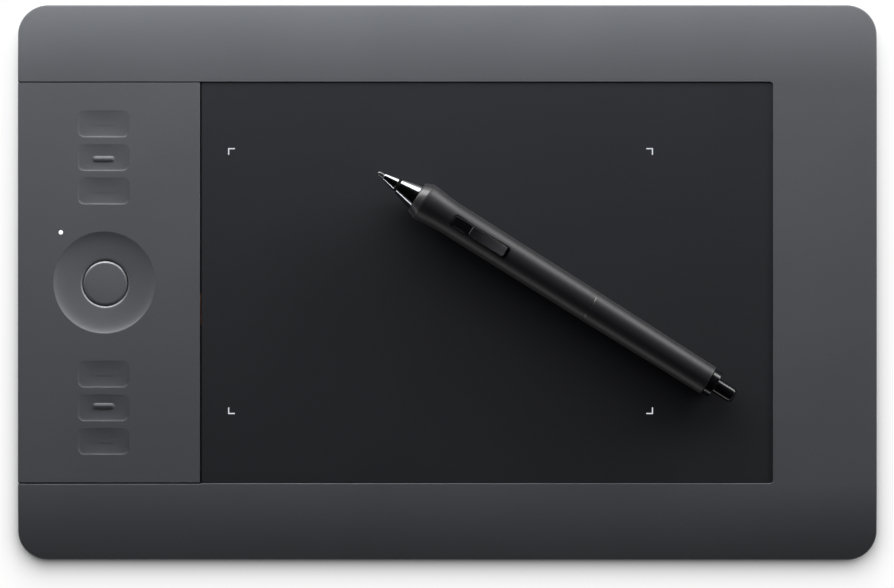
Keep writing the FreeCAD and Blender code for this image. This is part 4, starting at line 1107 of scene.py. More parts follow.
@dataclass
class TouchRing:
    """Dished touch ring with its centre button and status light.

    Attributes:
        centre: Middle of the ring.
        radius: Radius of the dish.
        slope: Slope of the dish near its button.
        rim_slope: How much steeper it is at its rim.
        steepening: Power with which it gets steeper towards the rim.
        button_shift: How far the button and its hole lie off the dish's middle.
        hole: Radius of the button's hole.
        lip: Bevel of that hole.
        lip_shares: Share of that bevel's width that is left at each of its loops.
        button: Radius of the button.
        button_top: Height of the button's middle.
        crown: How far the button's top falls to its edge.
        crown_round: Width of the rounding between its bevel and its top.
        crown_shares: Share of the top's radius at each of its loops.
        crisp_angle: Degrees above which an edge of the button stays crisp.
        chamfer: Bevel of the button.
        bevel_drop: Share of its width by which a bevel falls.
        skirt: Height of the button's wall below its edge.
        light: Offset of the status light from the centre.
        light_radius: Radius of the status light.
        light_levels: Inset and height over the panel of each loop of the light's lens.
        rim_levels: Distance outside the dish and fall of each loop of its rim.
        rings: Rings of faces in the dish.
        steps: Facets round the ring.
    """

    centre: Plan = (-127.8, 0.0)
    radius: float = 18.95
    slope: float = 0.095
    rim_slope: float = 0.52
    steepening: int = 9
    button_shift: Plan = (0.28, -0.3)
    hole: float = 8.6
    lip: float = 0.55
    lip_shares: tuple[float, ...] = (0.85, 0.1, 0.0)
    button: float = 8.28
    button_top: float = 10.2
    crown: float = 0.25
    crown_round: float = 0.05
    crown_shares: tuple[float, ...] = (0.93, 0.85, 0.75, 0.62, 0.48, 0.34, 0.2, 0.08)
    crisp_angle: float = 30.0
    chamfer: float = 0.6
    bevel_drop: float = 0.62
    skirt: float = 1.3
    light: Plan = (-16.2, 18.7)
    light_radius: float = 0.8
    light_levels: tuple[Plan, ...] = ((0.0, -0.6), (0.0, -0.06), (0.06, -0.02), (0.3, 0.0), (0.6, 0.0))
    rim_levels: tuple[Plan, ...] = ((0.12, 0.0), (0.04, 0.01))
    rings: int = 22
    steps: int = 144

    def middle(self, share: float = 1.0) -> Plan:
        """Point between the dish's middle, at 0, and that of the button and its hole, at 1."""
        return self.centre[0] + self.button_shift[0] * share, self.centre[1] + self.button_shift[1] * share

    def light_centre(self) -> Plan:
        """Middle of the status light."""
        return self.centre[0] + self.light[0], self.centre[1] + self.light[1]

    def circle(self, form: Form, radius: float, height: float, centre: Plan) -> Loop:
        """Add a ring of points.

        Args:
            form: Mesh that it is added to.
            radius: Its radius.
            height: Its height.
            centre: Its middle.

        Returns:
            The points.
        """
        x, y = centre
        turns = [2 * math.pi * step / self.steps for step in range(self.steps)]
        return form.loop((x + radius * math.cos(a), y + radius * math.sin(a), height) for a in turns)

    def dish(self, form: Form, top: float, low: float) -> list[Loop]:
        """Build the dish and the hole of the button.

        Args:
            form: Mesh of the control panel.
            top: Height of the panel.
            low: Height where the hole ends.

        Returns:
            The rim's loop and the hole's last loop.
        """
        loops = [self.circle(form, self.radius + outside, top - fall, self.centre)
                 for outside, fall in self.rim_levels]
        inner = self.hole + self.lip
        for step in range(self.rings + 1):
            share = step / self.rings
            radius = self.radius + (inner - self.radius) * share
            loops.append(self.circle(form, radius, self.floor(radius, top), self.middle(share)))
        lip_top = self.floor(inner, top)
        for share in self.lip_shares:
            height = lip_top - self.lip * self.bevel_drop * (1 - share)
            loops.append(self.circle(form, self.hole + self.lip * share, height, self.middle()))
        loops.append(self.circle(form, self.hole, low, self.middle()))
        form.stack(loops)
        return [loops[0], loops[-1]]

    def floor(self, radius: float, top: float) -> float:
        """Height of the dish at a radius."""
        share = radius / self.radius
        steep = (1 - share ** (self.steepening + 1)) / (self.steepening + 1)
        return top - SOFT_EDGE - self.radius * (self.slope * (1 - share) + self.rim_slope * steep)

    def button_piece(self, finish: bpy.types.Material) -> bpy.types.Object:
        """Build the slightly domed centre button."""
        form = Form()
        edge = self.button_top - self.crown
        inner = self.button - self.chamfer
        levels = [(self.button, edge - self.skirt), (self.button, edge - self.chamfer),
                  (self.button - SOFT_EDGE, edge - self.chamfer * self.bevel_drop),
                  (inner + self.crown_round, edge - SOFT_EDGE), (inner, edge)]
        for share in self.crown_shares:
            levels.append((inner * share, edge + self.crown * (1 - share ** 2)))
        form.solid([self.circle(form, radius, height, self.middle()) for radius, height in levels])
        return form.write("ring_button_cap", finish, sharp=self.crisp_angle)

    def light_piece(self, finish: bpy.types.Material, top: float) -> bpy.types.Object:
        """Build the domed lens of the status light."""
        form = Form()
        form.solid([self.circle(form, self.light_radius - inset, top + height, self.light_centre())
                    for inset, height in self.light_levels])
        return form.write("status_lens", finish)


@dataclass
class ShortcutKeys:
    """Six dished keys, the middle one of each group with a raised bar.

    Attributes:
        x: Middle of the keys across.
        rows: Middle of each key towards the rear, from the rear.
        half_length: Half the opening of a key.
        half_width: Half its width.
        corner: Corner radius of the opening.
        gap: Gap round a cap.
        rim_depth: How far the dish falls close to the rim.
        rim_width: How far in that fall reaches.
        rear_share: Share of that fall that is left at the rear rim.
        hollow: Further depth in the middle of the dish.
        foot: Height of a cap's foot.
        edge_levels: Inset and fall of each loop of a cap's rounded edge.
        rim_insets: Inset of each loop of the dish.
        corner_share: Share of an inset by which the corner radius of a loop shrinks.
        tilt: How quickly the rim's fall grows from the rear rim to the front.
        crisp_angle: Degrees above which an edge of a cap stays crisp.
        bar_half: Half the length and half the width of the raised bar.
        bar_shift: How far the bar lies towards the middle of the tablet.
        bar_sink: How far the bar's foot lies under the dish.
        bar_root: How far the bar runs on below its foot.
        bar_height: Height of the bar over the dish.
        bar_shares: Share of its half width by which each loop of the bar's crown is set in.
        bar_bulge: Power with which the crown rounds over.
        bar_taper: Factor by which a loop is set in more at its ends than at its sides.
        bar_roundness: Share of a loop's half width that its corners are rounded by.
        barred: Numbers of the keys with a bar.
    """

    x: float = -128.1
    rows: tuple[float, ...] = (59.1, 46.6, 34.1, -34.1, -46.6, -59.1)
    half_length: float = 9.6
    half_width: float = 5.05
    corner: float = 2.5
    gap: float = 0.03
    rim_depth: float = 0.18
    rim_width: float = 0.8
    rear_share: float = 0.05
    hollow: float = 0.38
    foot: float = 9.4
    edge_levels: tuple[Plan, ...] = ((0.0, 0.04), (SOFT_EDGE, 0.01))
    rim_insets: tuple[float, ...] = (
        0.08, 0.16, 0.26, 0.38, 0.52, 0.68, 0.9, 1.2, 1.6, 2.1, 2.7, 3.3, 3.9, 4.4)
    corner_share: float = 0.45
    tilt: float = 0.65
    crisp_angle: float = 40.0
    bar_half: Plan = (4.45, 1.35)
    bar_shift: float = 0.6
    bar_sink: float = 0.12
    bar_root: float = 0.2
    bar_height: float = 0.54
    bar_shares: tuple[float, ...] = (0.12, 0.28, 0.45, 0.62, 0.78, 0.9, 0.97)
    bar_bulge: float = 1.6
    bar_taper: float = 1.2
    bar_roundness: float = 0.9
    barred: tuple[int, int] = (2, 5)

    def opening(self, form: Form, y: float, top: float, low: float) -> list[Loop]:
        """Build the opening of a key in the control panel.

        Args:
            form: Mesh of the control panel.
            y: Middle of the key.
            top: Height of the panel.
            low: Height where the opening ends.

        Returns:
            Its loop on the panel's top and its last loop.
        """
        loops = []
        for growth, height in ((SOFT_EDGE, top), (0.0, top - SOFT_EDGE), (0.0, low)):
            outline = rounded_outline(self.half_length + growth, self.half_width + growth,
                                      self.corner + growth)
            loops.append(form.loop((self.x + px, y + py, height) for px, py in outline))
        form.stack(loops)
        return [loops[0], loops[-1]]

    def cap(self, number: int, top: float, finish: bpy.types.Material) -> bpy.types.Object:
        """Build one key cap.

        Args:
            number: Its number from the rear, starting at 1.
            top: Height of the panel.
            finish: Its material.

        Returns:
            The piece.
        """
        y = self.rows[number - 1]
        half_x, half_y = self.half_length - self.gap, self.half_width - self.gap
        form = Form()

        def outline(inset: float) -> list[Plan]:
            """Plan of the cap set in by a distance."""
            radius = self.corner - self.gap - inset * self.corner_share
            return rounded_outline(half_x - inset, half_y - inset, radius, side_steps=8)

        def height(inset: float, px: float, py: float) -> float:
            """Height of the dish at a point of a loop."""
            share = min(1.0, inset / self.rim_width)
            lean = min(1.0, self.rear_share + (1 - self.rear_share) * self.tilt * (1 - py / half_y))
            fall = self.rim_depth * lean * (1 - (1 - share) ** 2)
            bowl = (1 - (px / half_x) ** 2) * (1 - (py / half_y) ** 2)
            return top - fall - self.hollow * bowl

        levels = [(0.0, self.foot)] + [(inset, top - fall) for inset, fall in self.edge_levels]
        loops = [form.loop((self.x + px, y + py, level) for px, py in outline(inset))
                 for inset, level in levels]
        for inset in self.rim_insets:
            loops.append(form.loop((self.x + px, y + py, height(inset, px, py))
                                   for px, py in outline(inset)))
        form.solid(loops)
        if number in self.barred:
            self.bar(form, y, top)
        return form.write(f"key_cap_{number}", finish, sharp=self.crisp_angle)

    def bar(self, form: Form, y: float, top: float) -> None:
        """Add the raised bar to the dish of a middle key."""
        base = top - self.rim_depth * (1 + self.rear_share) / 2 - self.hollow - self.bar_sink
        half_x, half_y = self.bar_half

        def outline(inset: float) -> list[Plan]:
            """Plan of the bar, set in a little more at its ends."""
            return rounded_outline(half_x - inset * self.bar_taper, half_y - inset,
                                   (half_y - inset) * self.bar_roundness, 6)

        rise = self.bar_height + self.bar_sink
        levels = [(0.0, base - self.bar_root), (0.0, base)]
        for share in self.bar_shares:
            levels.append((share * half_y, base + rise * (1 - (1 - share) ** self.bar_bulge)))
        form.plate(outline, levels, (self.x, y - math.copysign(self.bar_shift, y)))


@dataclass
class SideControls:
    """Socket and power slider in the left wall.

    Attributes:
        socket: Front, rear, bottom and top of the socket's mouth.
        slider: Front, rear, bottom and top of the slider's recess.
        socket_reach: How far the socket's mouth is cut in.
        slider_reach: Depth of the slider's recess.
        overshoot: How far both cuts start outside the wall.
        mouth_corner: Corner radius of both.
        pad_corner: Corner radius of the slider's pad.
        pad_levels: Inset and depth of each loop of the pad, from its foot to its face.
        grooves: Place of each groove from the pad's middle.
        groove: Half the width of a groove, and its depth.
    """

    socket: tuple[float, float, float, float] = (46.0, 54.0, 6.7, 9.8)
    slider: tuple[float, float, float, float] = (20.9, 30.1, 6.6, 9.4)
    socket_reach: float = 9.0
    slider_reach: float = 0.9
    overshoot: float = 1.0
    mouth_corner: float = 0.4
    pad_corner: float = 0.3
    pad_levels: tuple[Plan, ...] = ((0.0, 4.4), (0.0, 0.25), (0.08, 0.08), (0.25, 0.0))
    grooves: tuple[float, ...] = (-1.1, 0.0, 1.1)
    groove: Plan = (0.25, 0.2)

    def cut(self, panel: bpy.types.Object, wall: float) -> None:
        """Cut both openings in the panel's wall.

        Args:
            panel: The control panel.
            wall: Place of the outer face of the wall.
        """
        for (front, rear, low, high), reach in ((self.socket, self.socket_reach),
                                                (self.slider, self.slider_reach)):
            tool = Form()
            outline = rounded_outline((rear - front) / 2, (high - low) / 2, self.mouth_corner, 4)
            tool.solid([tool.loop((x, (front + rear) / 2 + py, (low + high) / 2 + pz) for py, pz in outline)
                        for x in (wall - self.overshoot, wall + reach)])
            carve(panel, tool)

    def slider_piece(self, finish: bpy.types.Material) -> bpy.types.Object:
        """Build the slider's pad with its grip grooves."""
        low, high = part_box("power_slider")
        form = Form()
        x0, y0, z0 = (value / MILLIMETRE for value in low)
        y1, z1 = high.y / MILLIMETRE, high.z / MILLIMETRE
        middle_y, middle_z = (y0 + y1) / 2, (z0 + z1) / 2
        half_y, half_z = (y1 - y0) / 2, (z1 - z0) / 2
        form.solid([form.loop((x0 + depth, middle_y + py, middle_z + pz) for py, pz in
                              rounded_outline(half_y - inset, half_z - inset, self.pad_corner, 4))
                    for inset, depth in self.pad_levels])
        piece = form.write("power_slider_pad", finish)
        tool = Form()
        half, depth = self.groove
        over = 0.1
        for shift in self.grooves:
            y = middle_y + shift
            corners = [(x0 - over, y - half), (x0 + depth, y), (x0 - over, y + half)]
            tool.solid([tool.loop((gx, gy, z) for gx, gy in corners) for z in (z0 - over, z1 + over)])
        carve(piece, tool)
        return piece


@dataclass
class DrawingArea:
    """Textured sheet with four lit corner marks.

    Attributes:
        left: Left edge of the sheet.
        right: Right edge.
        half_depth: Half its depth.
        corner: Corner radius.
        bottom: Height of its underside.
        top: Height of its surface.
        active: Left, right, front and rear of the marked area.
        arm: Length and width of a mark's arm.
        mark_gap: Gap round a lit mark.
        mark_sink: How far a lit mark lies under the surface.
        edge_levels: Inset and fall of each loop of the sheet's rounded edge.
    """

    left: float = -91.62
    right: float = 121.15
    half_depth: float = 74.62
    corner: float = 1.3
    bottom: float = 11.0
    top: float = 11.6
    active: tuple[float, float, float, float] = (-81.7, 76.6, -49.0, 50.1)
    arm: tuple[float, float] = (2.5, 0.43)
    mark_gap: float = 0.01
    mark_sink: float = 0.02
    edge_levels: tuple[Plan, ...] = ((0.1, 0.0), (0.03, 0.03), (0.0, 0.1))

    def marks(self, form: Form, inset: float, height: float) -> list[Loop]:
        """Add the angle outline of each mark.

        Args:
            form: Mesh that they are added to.
            inset: How far they are set in.
            height: Their height.

        Returns:
            A loop for each mark.
        """
        length, width = self.arm
        far, near = length - inset, width - inset
        outline = [(inset, inset), (far, inset), (far, near), (near, near), (near, far), (inset, far)]
        left, right, front, rear = self.active
        loops = []
        for x, way_x in ((left, 1), (right, -1)):
            for y, way_y in ((front, 1), (rear, -1)):
                points = [(x + way_x * px, y + way_y * py, height) for px, py in outline]
                loops.append(form.loop(points if way_x * way_y > 0 else points[::-1]))
        return loops

    def sheet(self, finish: bpy.types.Material) -> bpy.types.Object:
        """Build the sheet with a window for each mark."""
        form = Form()
        middle = (self.left + self.right) / 2
        half = (self.right - self.left) / 2
        loops = []
        levels = [(inset, self.top - fall) for inset, fall in self.edge_levels]
        for inset, height in levels + [(0.0, self.bottom)]:
            outline = rounded_outline(half - inset, self.half_depth - inset, self.corner - inset)
            loops.append(form.loop((middle + x, y, height) for x, y in outline))
        upper, lower = (self.marks(form, 0.0, height) for height in (self.top, self.bottom))
        form.stack(loops)
        for first, second in zip(upper, lower):
            form.skin(first, second)
        form.fill([loops[0]] + upper)
        form.fill([loops[-1]] + lower)
        return form.write("drawing_sheet", finish)

    def lit_marks(self, finish: bpy.types.Material) -> bpy.types.Object:
        """Build the four lit marks, just under the sheet's surface."""
        form = Form()
        upper, lower = (self.marks(form, self.mark_gap, height)
                        for height in (self.top - self.mark_sink, self.bottom))
        for loops in zip(upper, lower):
            form.solid(loops)
        return form.write("lit_corner_marks", finish)


@dataclass
class Feet:
    """Four long rubber feet.

    Attributes:
        centre: Distance of each from the middle of the tablet.
        half: Half the length and half the width of a foot.
        height: Height of a foot, up into its recess.
        roundness: Share of its half width that its ends are rounded by.
        sole_levels: Inset and height of each loop of its softened sole.
    """

    centre: Plan = (136.0, 84.0)
    half: Plan = (13.0, 4.5)
    height: float = 1.3
    roundness: float = 0.96
    sole_levels: tuple[Plan, ...] = ((1.2, 0.0), (0.7, 0.03), (0.3, 0.16), (0.08, 0.36), (0.0, 0.6))

    def piece(self, finish: bpy.types.Material) -> bpy.types.Object:
        """Build the feet with softened soles."""
        form = Form()

        def outline(inset: float) -> list[Plan]:
            """Plan of a foot set in by a distance."""
            half_x, half_y = self.half[0] - inset, self.half[1] - inset
            return rounded_outline(half_x, half_y, self.roundness * half_y, 10)

        for way_x in (-1, 1):
            for way_y in (-1, 1):
                form.plate(outline, (*self.sole_levels, (0.0, self.height)),
                           (way_x * self.centre[0], way_y * self.centre[1]))
        return form.write("rubber_foot_pads", finish)


class Tablet:
    """The whole tablet without its pen."""

    def __init__(self, finishes: Finishes, ring: TouchRing) -> None:
        """Set out the sub-assemblies.

        Args:
            finishes: Every material.
            ring: The touch ring.
        """
        self.finishes = finishes
        self.ring = ring
        self.case = Case()
        self.keys = ShortcutKeys()
        self.side = SideControls()
        self.area = DrawingArea()
        self.feet = Feet()

    def control_panel(self) -> bpy.types.Object:
        """Build the control panel with its key openings, ring dish and wall openings."""
        case, ring = self.case, self.ring
        form = Form()
        outer = case.wall_loops(form, case.panel_plan(), case.parting)
        rims = [(outer[0], outer[-1])]
        rims += [self.keys.opening(form, y, case.top, case.parting) for y in self.keys.rows]
        rims.append(ring.dish(form, case.top, case.parting))
        lens = [ring.circle(form, ring.light_radius + SOFT_EDGE, height, ring.light_centre())
                for height in (case.top, case.parting)]
        form.stack(lens)
        rims.append(lens)
        for loops in zip(*rims):
            form.fill(loops)
        panel = form.write("control_panel_skin", self.finishes.panel)
        self.side.cut(panel, -case.half_width)
        return panel

    def build(self) -> None:
        """Build and place every outer piece of the tablet."""
        finishes, case = self.finishes, self.case
        stand_in(case.bezel(finishes["case_satin"]), "top_cover")
        stand_in(self.control_panel(), "control_panel", "hidden_lights")
        for number in range(1, len(self.keys.rows) + 1):
            cap = self.keys.cap(number, case.top, finishes["key_satin"])
            stand_in(cap, f"shortcut_key_{number}")
        stand_in(self.ring.button_piece(finishes["button_satin"]), "ring_button")
        stand_in(self.ring.light_piece(finishes.lens, case.top), "status_light")
        stand_in(self.side.slider_piece(finishes["switch_black"]), "power_slider")
        stand_in(self.area.sheet(finishes["drawing_surface"]), "surface_sheet")
        stand_in(self.area.lit_marks(finishes["lit_mark"]), "corner_marks")
        stand_in(self.feet.piece(finishes["foot_rubber"]), "rubber_feet")


# Pen

@dataclass
class Pen:
    """Pen lying on the sheet, made along X from its tip with its side switch up.

    Attributes:
        tip: Place of the tip in plan.
        heading: Degrees of its axis in plan.
        sheet_top: Height that it lies on.
        rest_gap: Gap under it.
        shoulder: Place and radius of the grip's widest part.
        tail: Place and radius of the rear barrel's end.
        length: Length from tip to eraser.
        chamfer: Start and end of the grip's front chamfer.
        grip: Profile of the grip, as places and radii.
        front_loop: Radius of the loop that keeps the grip's front face flat.
        barrel_rows: Place of each loop along the grip's straight part.
        seam: Place where the two barrels meet.
        seam_radius: Radius of both there.
        seam_bevel: Length of the rear barrel's bevel there.
        tail_round: Rounding of the rear barrel's end.
        tail_rows: Parts that the rear barrel is divided into.
        bore: Inner radius of the barrels.
        nib_profile: Profile of the nib.
        cone: Place and radius of the metal cone's front and rear.
        tip_end: Rear end of the cone's front part.
        cone_start: Front end of its rear part.
        groove: Start and end of the fine groove near the cone's rear.
        collar_profile: Profile of the tail collar.
        eraser_front: Front end of the eraser, inside the collar.
        eraser_radius: Radius of the eraser.
        eraser_round: Rounding of its end.
        switch: Front and rear end of the side switch.
        switch_half: Half its width.
        switch_corner: Corner radius of its frame.
        slot_levels: Heights over the axis between which its slot is cut.
        frame_foot: Height of the frame's foot over the pen's axis.
        frame_width: Width of the frame's rim.
        pads: Front and rear end of each pad.
        pad_tops: Height of each pad's crown over the axis.
        pad_foot: Height of the pads' feet.
        pad_wall: How far under its crown a pad's wall ends.
        pad_edge: Inset and fall of each loop of a pad's rounded edge.
        pad_insets: Inset of each loop of a pad's crown.
        pad_corner: Corner radius of a pad and the smallest one of its loops.
        pad_corner_share: Share of an inset by which that radius shrinks.
        pad_gap: How much narrower a pad is than the frame, to each side.
        pad_crown: How far a pad's crown falls to its sides.
        rear_bevel: Length and fall of the rear pad's bevel at its front end.
    """

    tip: Plan = (-25.9, 40.95)
    heading: float = PEN_HEADING
    sheet_top: float = 11.6
    rest_gap: float = 0.1
    shoulder: Plan = (20.5, 7.3)
    tail: Plan = (145.2, 5.65)
    length: float = 156.6
    chamfer: Plan = (17.1, 20.3)
    grip: tuple[Plan, ...] = (
        (17.1, 5.75), (17.2, 5.9), (17.4, 6.02), (18.2, 6.39), (19.0, 6.75), (19.8, 7.1),
        (20.05, 7.2), (20.3, 7.26), (20.6, 7.29), (21.0, 7.29), (22.0, 7.21), (23.2, 7.08),
        (24.5, 6.95), (26.0, 6.76), (28.0, 6.55), (29.7, 6.43), (31.5, 6.35))
    front_loop: float = 5.6
    barrel_rows: range = range(33, 93, 3)
    seam: float = 93.3
    seam_radius: float = 6.13
    seam_bevel: float = 0.3
    tail_round: float = 0.25
    tail_rows: int = 12
    bore: float = 4.4
    nib_profile: tuple[Plan, ...] = (
        (0.0, 0.0), (0.03, 0.25), (0.12, 0.48), (0.3, 0.68), (0.55, 0.83), (0.85, 0.92), (1.2, 0.95),
        (30.0, 0.95), (30.0, 0.0))
    cone: tuple[Plan, Plan] = ((2.7, 1.3), (17.0, 5.2))
    tip_end: float = 8.28
    cone_start: float = 9.32
    groove: Plan = (16.55, 16.78)
    collar_profile: tuple[Plan, ...] = (
        (145.4, 4.3), (145.4, 5.1), (145.5, 5.2), (148.1, 5.2), (148.3, 5.14), (148.44, 4.99),
        (148.5, 4.8), (148.5, 3.3), (148.4, 3.2), (146.0, 3.2), (146.0, 4.3))
    eraser_front: float = 146.2
    eraser_radius: float = 3.0
    eraser_round: float = 1.6
    switch: Plan = (32.7, 57.2)
    switch_half: float = 2.5
    switch_corner: float = 0.9
    slot_levels: Plan = (3.0, 9.0)
    frame_foot: float = 4.25
    frame_width: float = 0.38
    pads: tuple[Plan, Plan] = ((33.35, 40.5), (40.7, 55.75))
    pad_tops: Plan = (6.55, 6.8)
    pad_foot: float = 5.2
    pad_wall: float = 0.4
    pad_edge: tuple[Plan, ...] = ((0.01, 0.07), (0.03, 0.03), (0.07, 0.0))
    pad_insets: tuple[float, ...] = (0.3, 0.7, 1.1, 1.6)
    pad_corner: Plan = (0.6, 0.15)
    pad_corner_share: float = 0.3
    pad_gap: float = 0.55
    pad_crown: float = 0.03
    rear_bevel: Plan = (0.3, 0.2)

    def placement(self) -> Matrix:
        """Where the pen's own frame lies, in millimetres."""
        pitch = math.asin((self.shoulder[1] - self.tail[1]) / (self.tail[0] - self.shoulder[0]))
        lift = (self.sheet_top + self.rest_gap + self.shoulder[1] / math.cos(pitch)
                + self.shoulder[0] * math.tan(pitch))
        turn = Matrix.Rotation(math.radians(self.heading), 4, "Z") @ Matrix.Rotation(pitch, 4, "Y")
        return Matrix.Translation((*self.tip, lift)) @ turn

    def barrel_radius(self, place: float) -> float:
        """Radius of the front barrel behind its shoulder."""
        start_place, start_radius = self.grip[-1]
        share = (place - start_place) / (self.seam - start_place)
        return start_radius + share * (self.seam_radius - start_radius)

    def nose_radius(self, place: float) -> float:
        """Radius of the straight metal cone."""
        (front, front_radius), (rear, rear_radius) = self.cone
        return front_radius + (place - front) / (rear - front) * (rear_radius - front_radius)

    def seam_span(self) -> Plan:
        """Start and end of the glossy bevel at the seam."""
        return self.seam - 0.05, self.seam + self.seam_bevel + 0.1

    def turned_piece(self, name: str, profile: Levels, finish: bpy.types.Material,
                     closed: bool = True) -> bpy.types.Object:
        """Turn a piece about the pen's axis and lay it down.

        Args:
            name: Name of the piece.
            profile: Pairs of place and radius.
            finish: Its material.
            closed: Whether the profile runs back to its start.

        Returns:
            The piece.
        """
        form = Form()
        form.turned(profile, closed=closed)
        return form.write(name, finish, self.placement())

    def nose(self, chrome: bpy.types.Material, black: bpy.types.Material) -> list[bpy.types.Object]:
        """Build the metal nose in two parts with a dark ring between them."""

        def skin(place: float, rise: float = 0.0) -> Plan:
            """Point of a profile, on the straight cone or a little off it."""
            return place, self.nose_radius(place) + rise

        (front, _), (rear, rear_radius) = self.cone
        tip_end, cone_start, bevel = self.tip_end, self.cone_start, 0.08
        nib_bore, ring_bore, ring_radius, cone_bore = 1.1, 1.9, 2.55, 4.3
        start, end = self.groove
        groove_depth = 0.06
        profiles = {
            "nose_tip_skin": [(front, nib_bore), (front, 1.22), (front + 0.06, 1.3), skin(front + 0.2),
                              skin(tip_end - bevel), skin(tip_end, -bevel), (tip_end, ring_bore),
                              (tip_end + 0.17, nib_bore)],
            "nose_ring_skin": [(tip_end, ring_bore), (tip_end, ring_radius), (cone_start, ring_radius),
                               (cone_start, ring_bore)],
            "nose_cone_skin": [(cone_start, ring_bore), skin(cone_start, -bevel), skin(cone_start + bevel),
                               skin(start), skin(start + 0.07, -groove_depth),
                               skin(end - groove_depth, -groove_depth), skin(end, 0.03),
                               (rear - 0.05, rear_radius), (rear, rear_radius - bevel), (rear, cone_bore)],
        }
        return [self.turned_piece(name, profile, black if name == "nose_ring_skin" else chrome)
                for name, profile in profiles.items()]

    def front_barrel(self, finish: bpy.types.Material) -> bpy.types.Object:
        """Build the grip with the slot of its side switch."""
        front, rear = self.chamfer[0], self.seam
        bevel = 0.02
        profile = [(front, self.bore), (front, self.front_loop), *self.grip]
        profile += [(place, self.barrel_radius(place)) for place in self.barrel_rows]
        profile += [(rear - bevel, self.seam_radius), (rear, self.seam_radius - bevel), (rear, self.bore)]
        piece = self.turned_piece("grip_barrel", profile, finish)
        start, end = self.switch
        slot = rounded_outline((end - start) / 2, self.switch_half, self.switch_corner)
        tool = Form()
        tool.solid([tool.loop(((start + end) / 2 + x, y, height) for x, y in slot)
                    for height in self.slot_levels])
        carve(piece, tool, self.placement())
        return piece

    def rear_barrel(self, finish: bpy.types.Material) -> bpy.types.Object:
        """Build the plain rear barrel."""
        front, (rear, radius) = self.seam + SOFT_EDGE, self.tail
        bevel, rounding, rows = self.seam_bevel, self.tail_round, self.tail_rows
        profile = [(front, self.bore), (front, self.seam_radius - 0.4 * bevel),
                   (front + bevel, self.seam_radius - 0.02), (front + bevel + 0.05, self.seam_radius)]
        profile += [(front + bevel + (rear - front - bevel - rounding) * step / rows,
                     self.seam_radius + (radius - self.seam_radius) * step / rows) for step in range(1, rows)]
        profile += [(rear - rounding, radius), (rear - 0.07, radius - 0.07), (rear, radius - rounding),
                    (rear, self.bore)]
        return self.turned_piece("tail_barrel", profile, finish)

    def eraser(self, finish: bpy.types.Material) -> bpy.types.Object:
        """Build the eraser button with its softly rounded end."""
        front, end, radius, rounding = self.eraser_front, self.length, self.eraser_radius, self.eraser_round
        flat = radius - rounding
        profile = [(front, 0.0), (front, radius)]
        profile += [(end - rounding * left, flat + rounding * (1 - fallen))
                    for left, fallen in quarter_round(8)]
        profile += [(end, flat / 2), (end, 0.0)]
        return self.turned_piece("eraser_button", profile, finish, closed=False)

    def surround(self, finish: bpy.types.Material) -> bpy.types.Object:
        """Build the frame of the side switch, flush with the grip."""
        form = Form()
        start, end = self.switch
        middle, half = (start + end) / 2, (end - start) / 2

        def line(inset: float, rise: float | None = None) -> Loop:
            """Loop over the grip's skin, or at the frame's foot."""
            outline = rounded_outline(half - inset, self.switch_half - inset, self.switch_corner - inset,
                                      side_steps=10)
            if rise is None:
                return form.loop((middle + x, y, self.frame_foot) for x, y in outline)
            return form.loop((middle + x, y, math.sqrt(self.barrel_radius(middle + x) ** 2 - y * y) + rise)
                             for x, y in outline)

        inner = self.frame_width
        loops = [line(0.01), line(0.01, -0.08), line(0.05, -0.02), line(0.12, 0.0), line(inner - 0.1, 0.0),
                 line(inner - 0.03, -0.02), line(inner, -0.08), line(inner)]
        form.stack(loops)
        form.skin(loops[-1], loops[0])
        return form.write("switch_frame", finish, self.placement())

    def pad(self, name: str, span: Plan, top: float, finish: bpy.types.Material,
            front_bevel: Plan = (0.1, 0.0)) -> bpy.types.Object:
        """Build one pad of the side switch.

        Args:
            name: Name of the piece.
            span: Its front and rear ends.
            top: Height of its crown.
            finish: Its material.
            front_bevel: Length and fall of the bevel at its front end.

        Returns:
            The piece.
        """
        form = Form()
        middle, half_x = (span[0] + span[1]) / 2, (span[1] - span[0]) / 2
        half_y = self.switch_half - self.pad_gap
        length, fall = front_bevel

        def outline(inset: float) -> list[Plan]:
            """Plan of the pad set in by a distance."""
            corner, smallest = self.pad_corner
            radius = max(corner - self.pad_corner_share * inset, smallest)
            return rounded_outline(half_x - inset, half_y - inset, radius, side_steps=6)

        def crown(x: float, y: float) -> float:
            """Height of the crown at a point."""
            return top - self.pad_crown * (y / half_y) ** 2 - fall * max(0.0, 1 - (x + half_x) / length)

        loops = [form.loop((middle + x, y, height) for x, y in outline(0.0))
                 for height in (self.pad_foot, top - self.pad_wall)]
        for inset, drop in (*self.pad_edge, *((inset, 0.0) for inset in self.pad_insets)):
            loops.append(form.loop((middle + x, y, crown(x, y) - drop) for x, y in outline(inset)))
        form.solid(loops)
        return form.write(name, finish, self.placement())

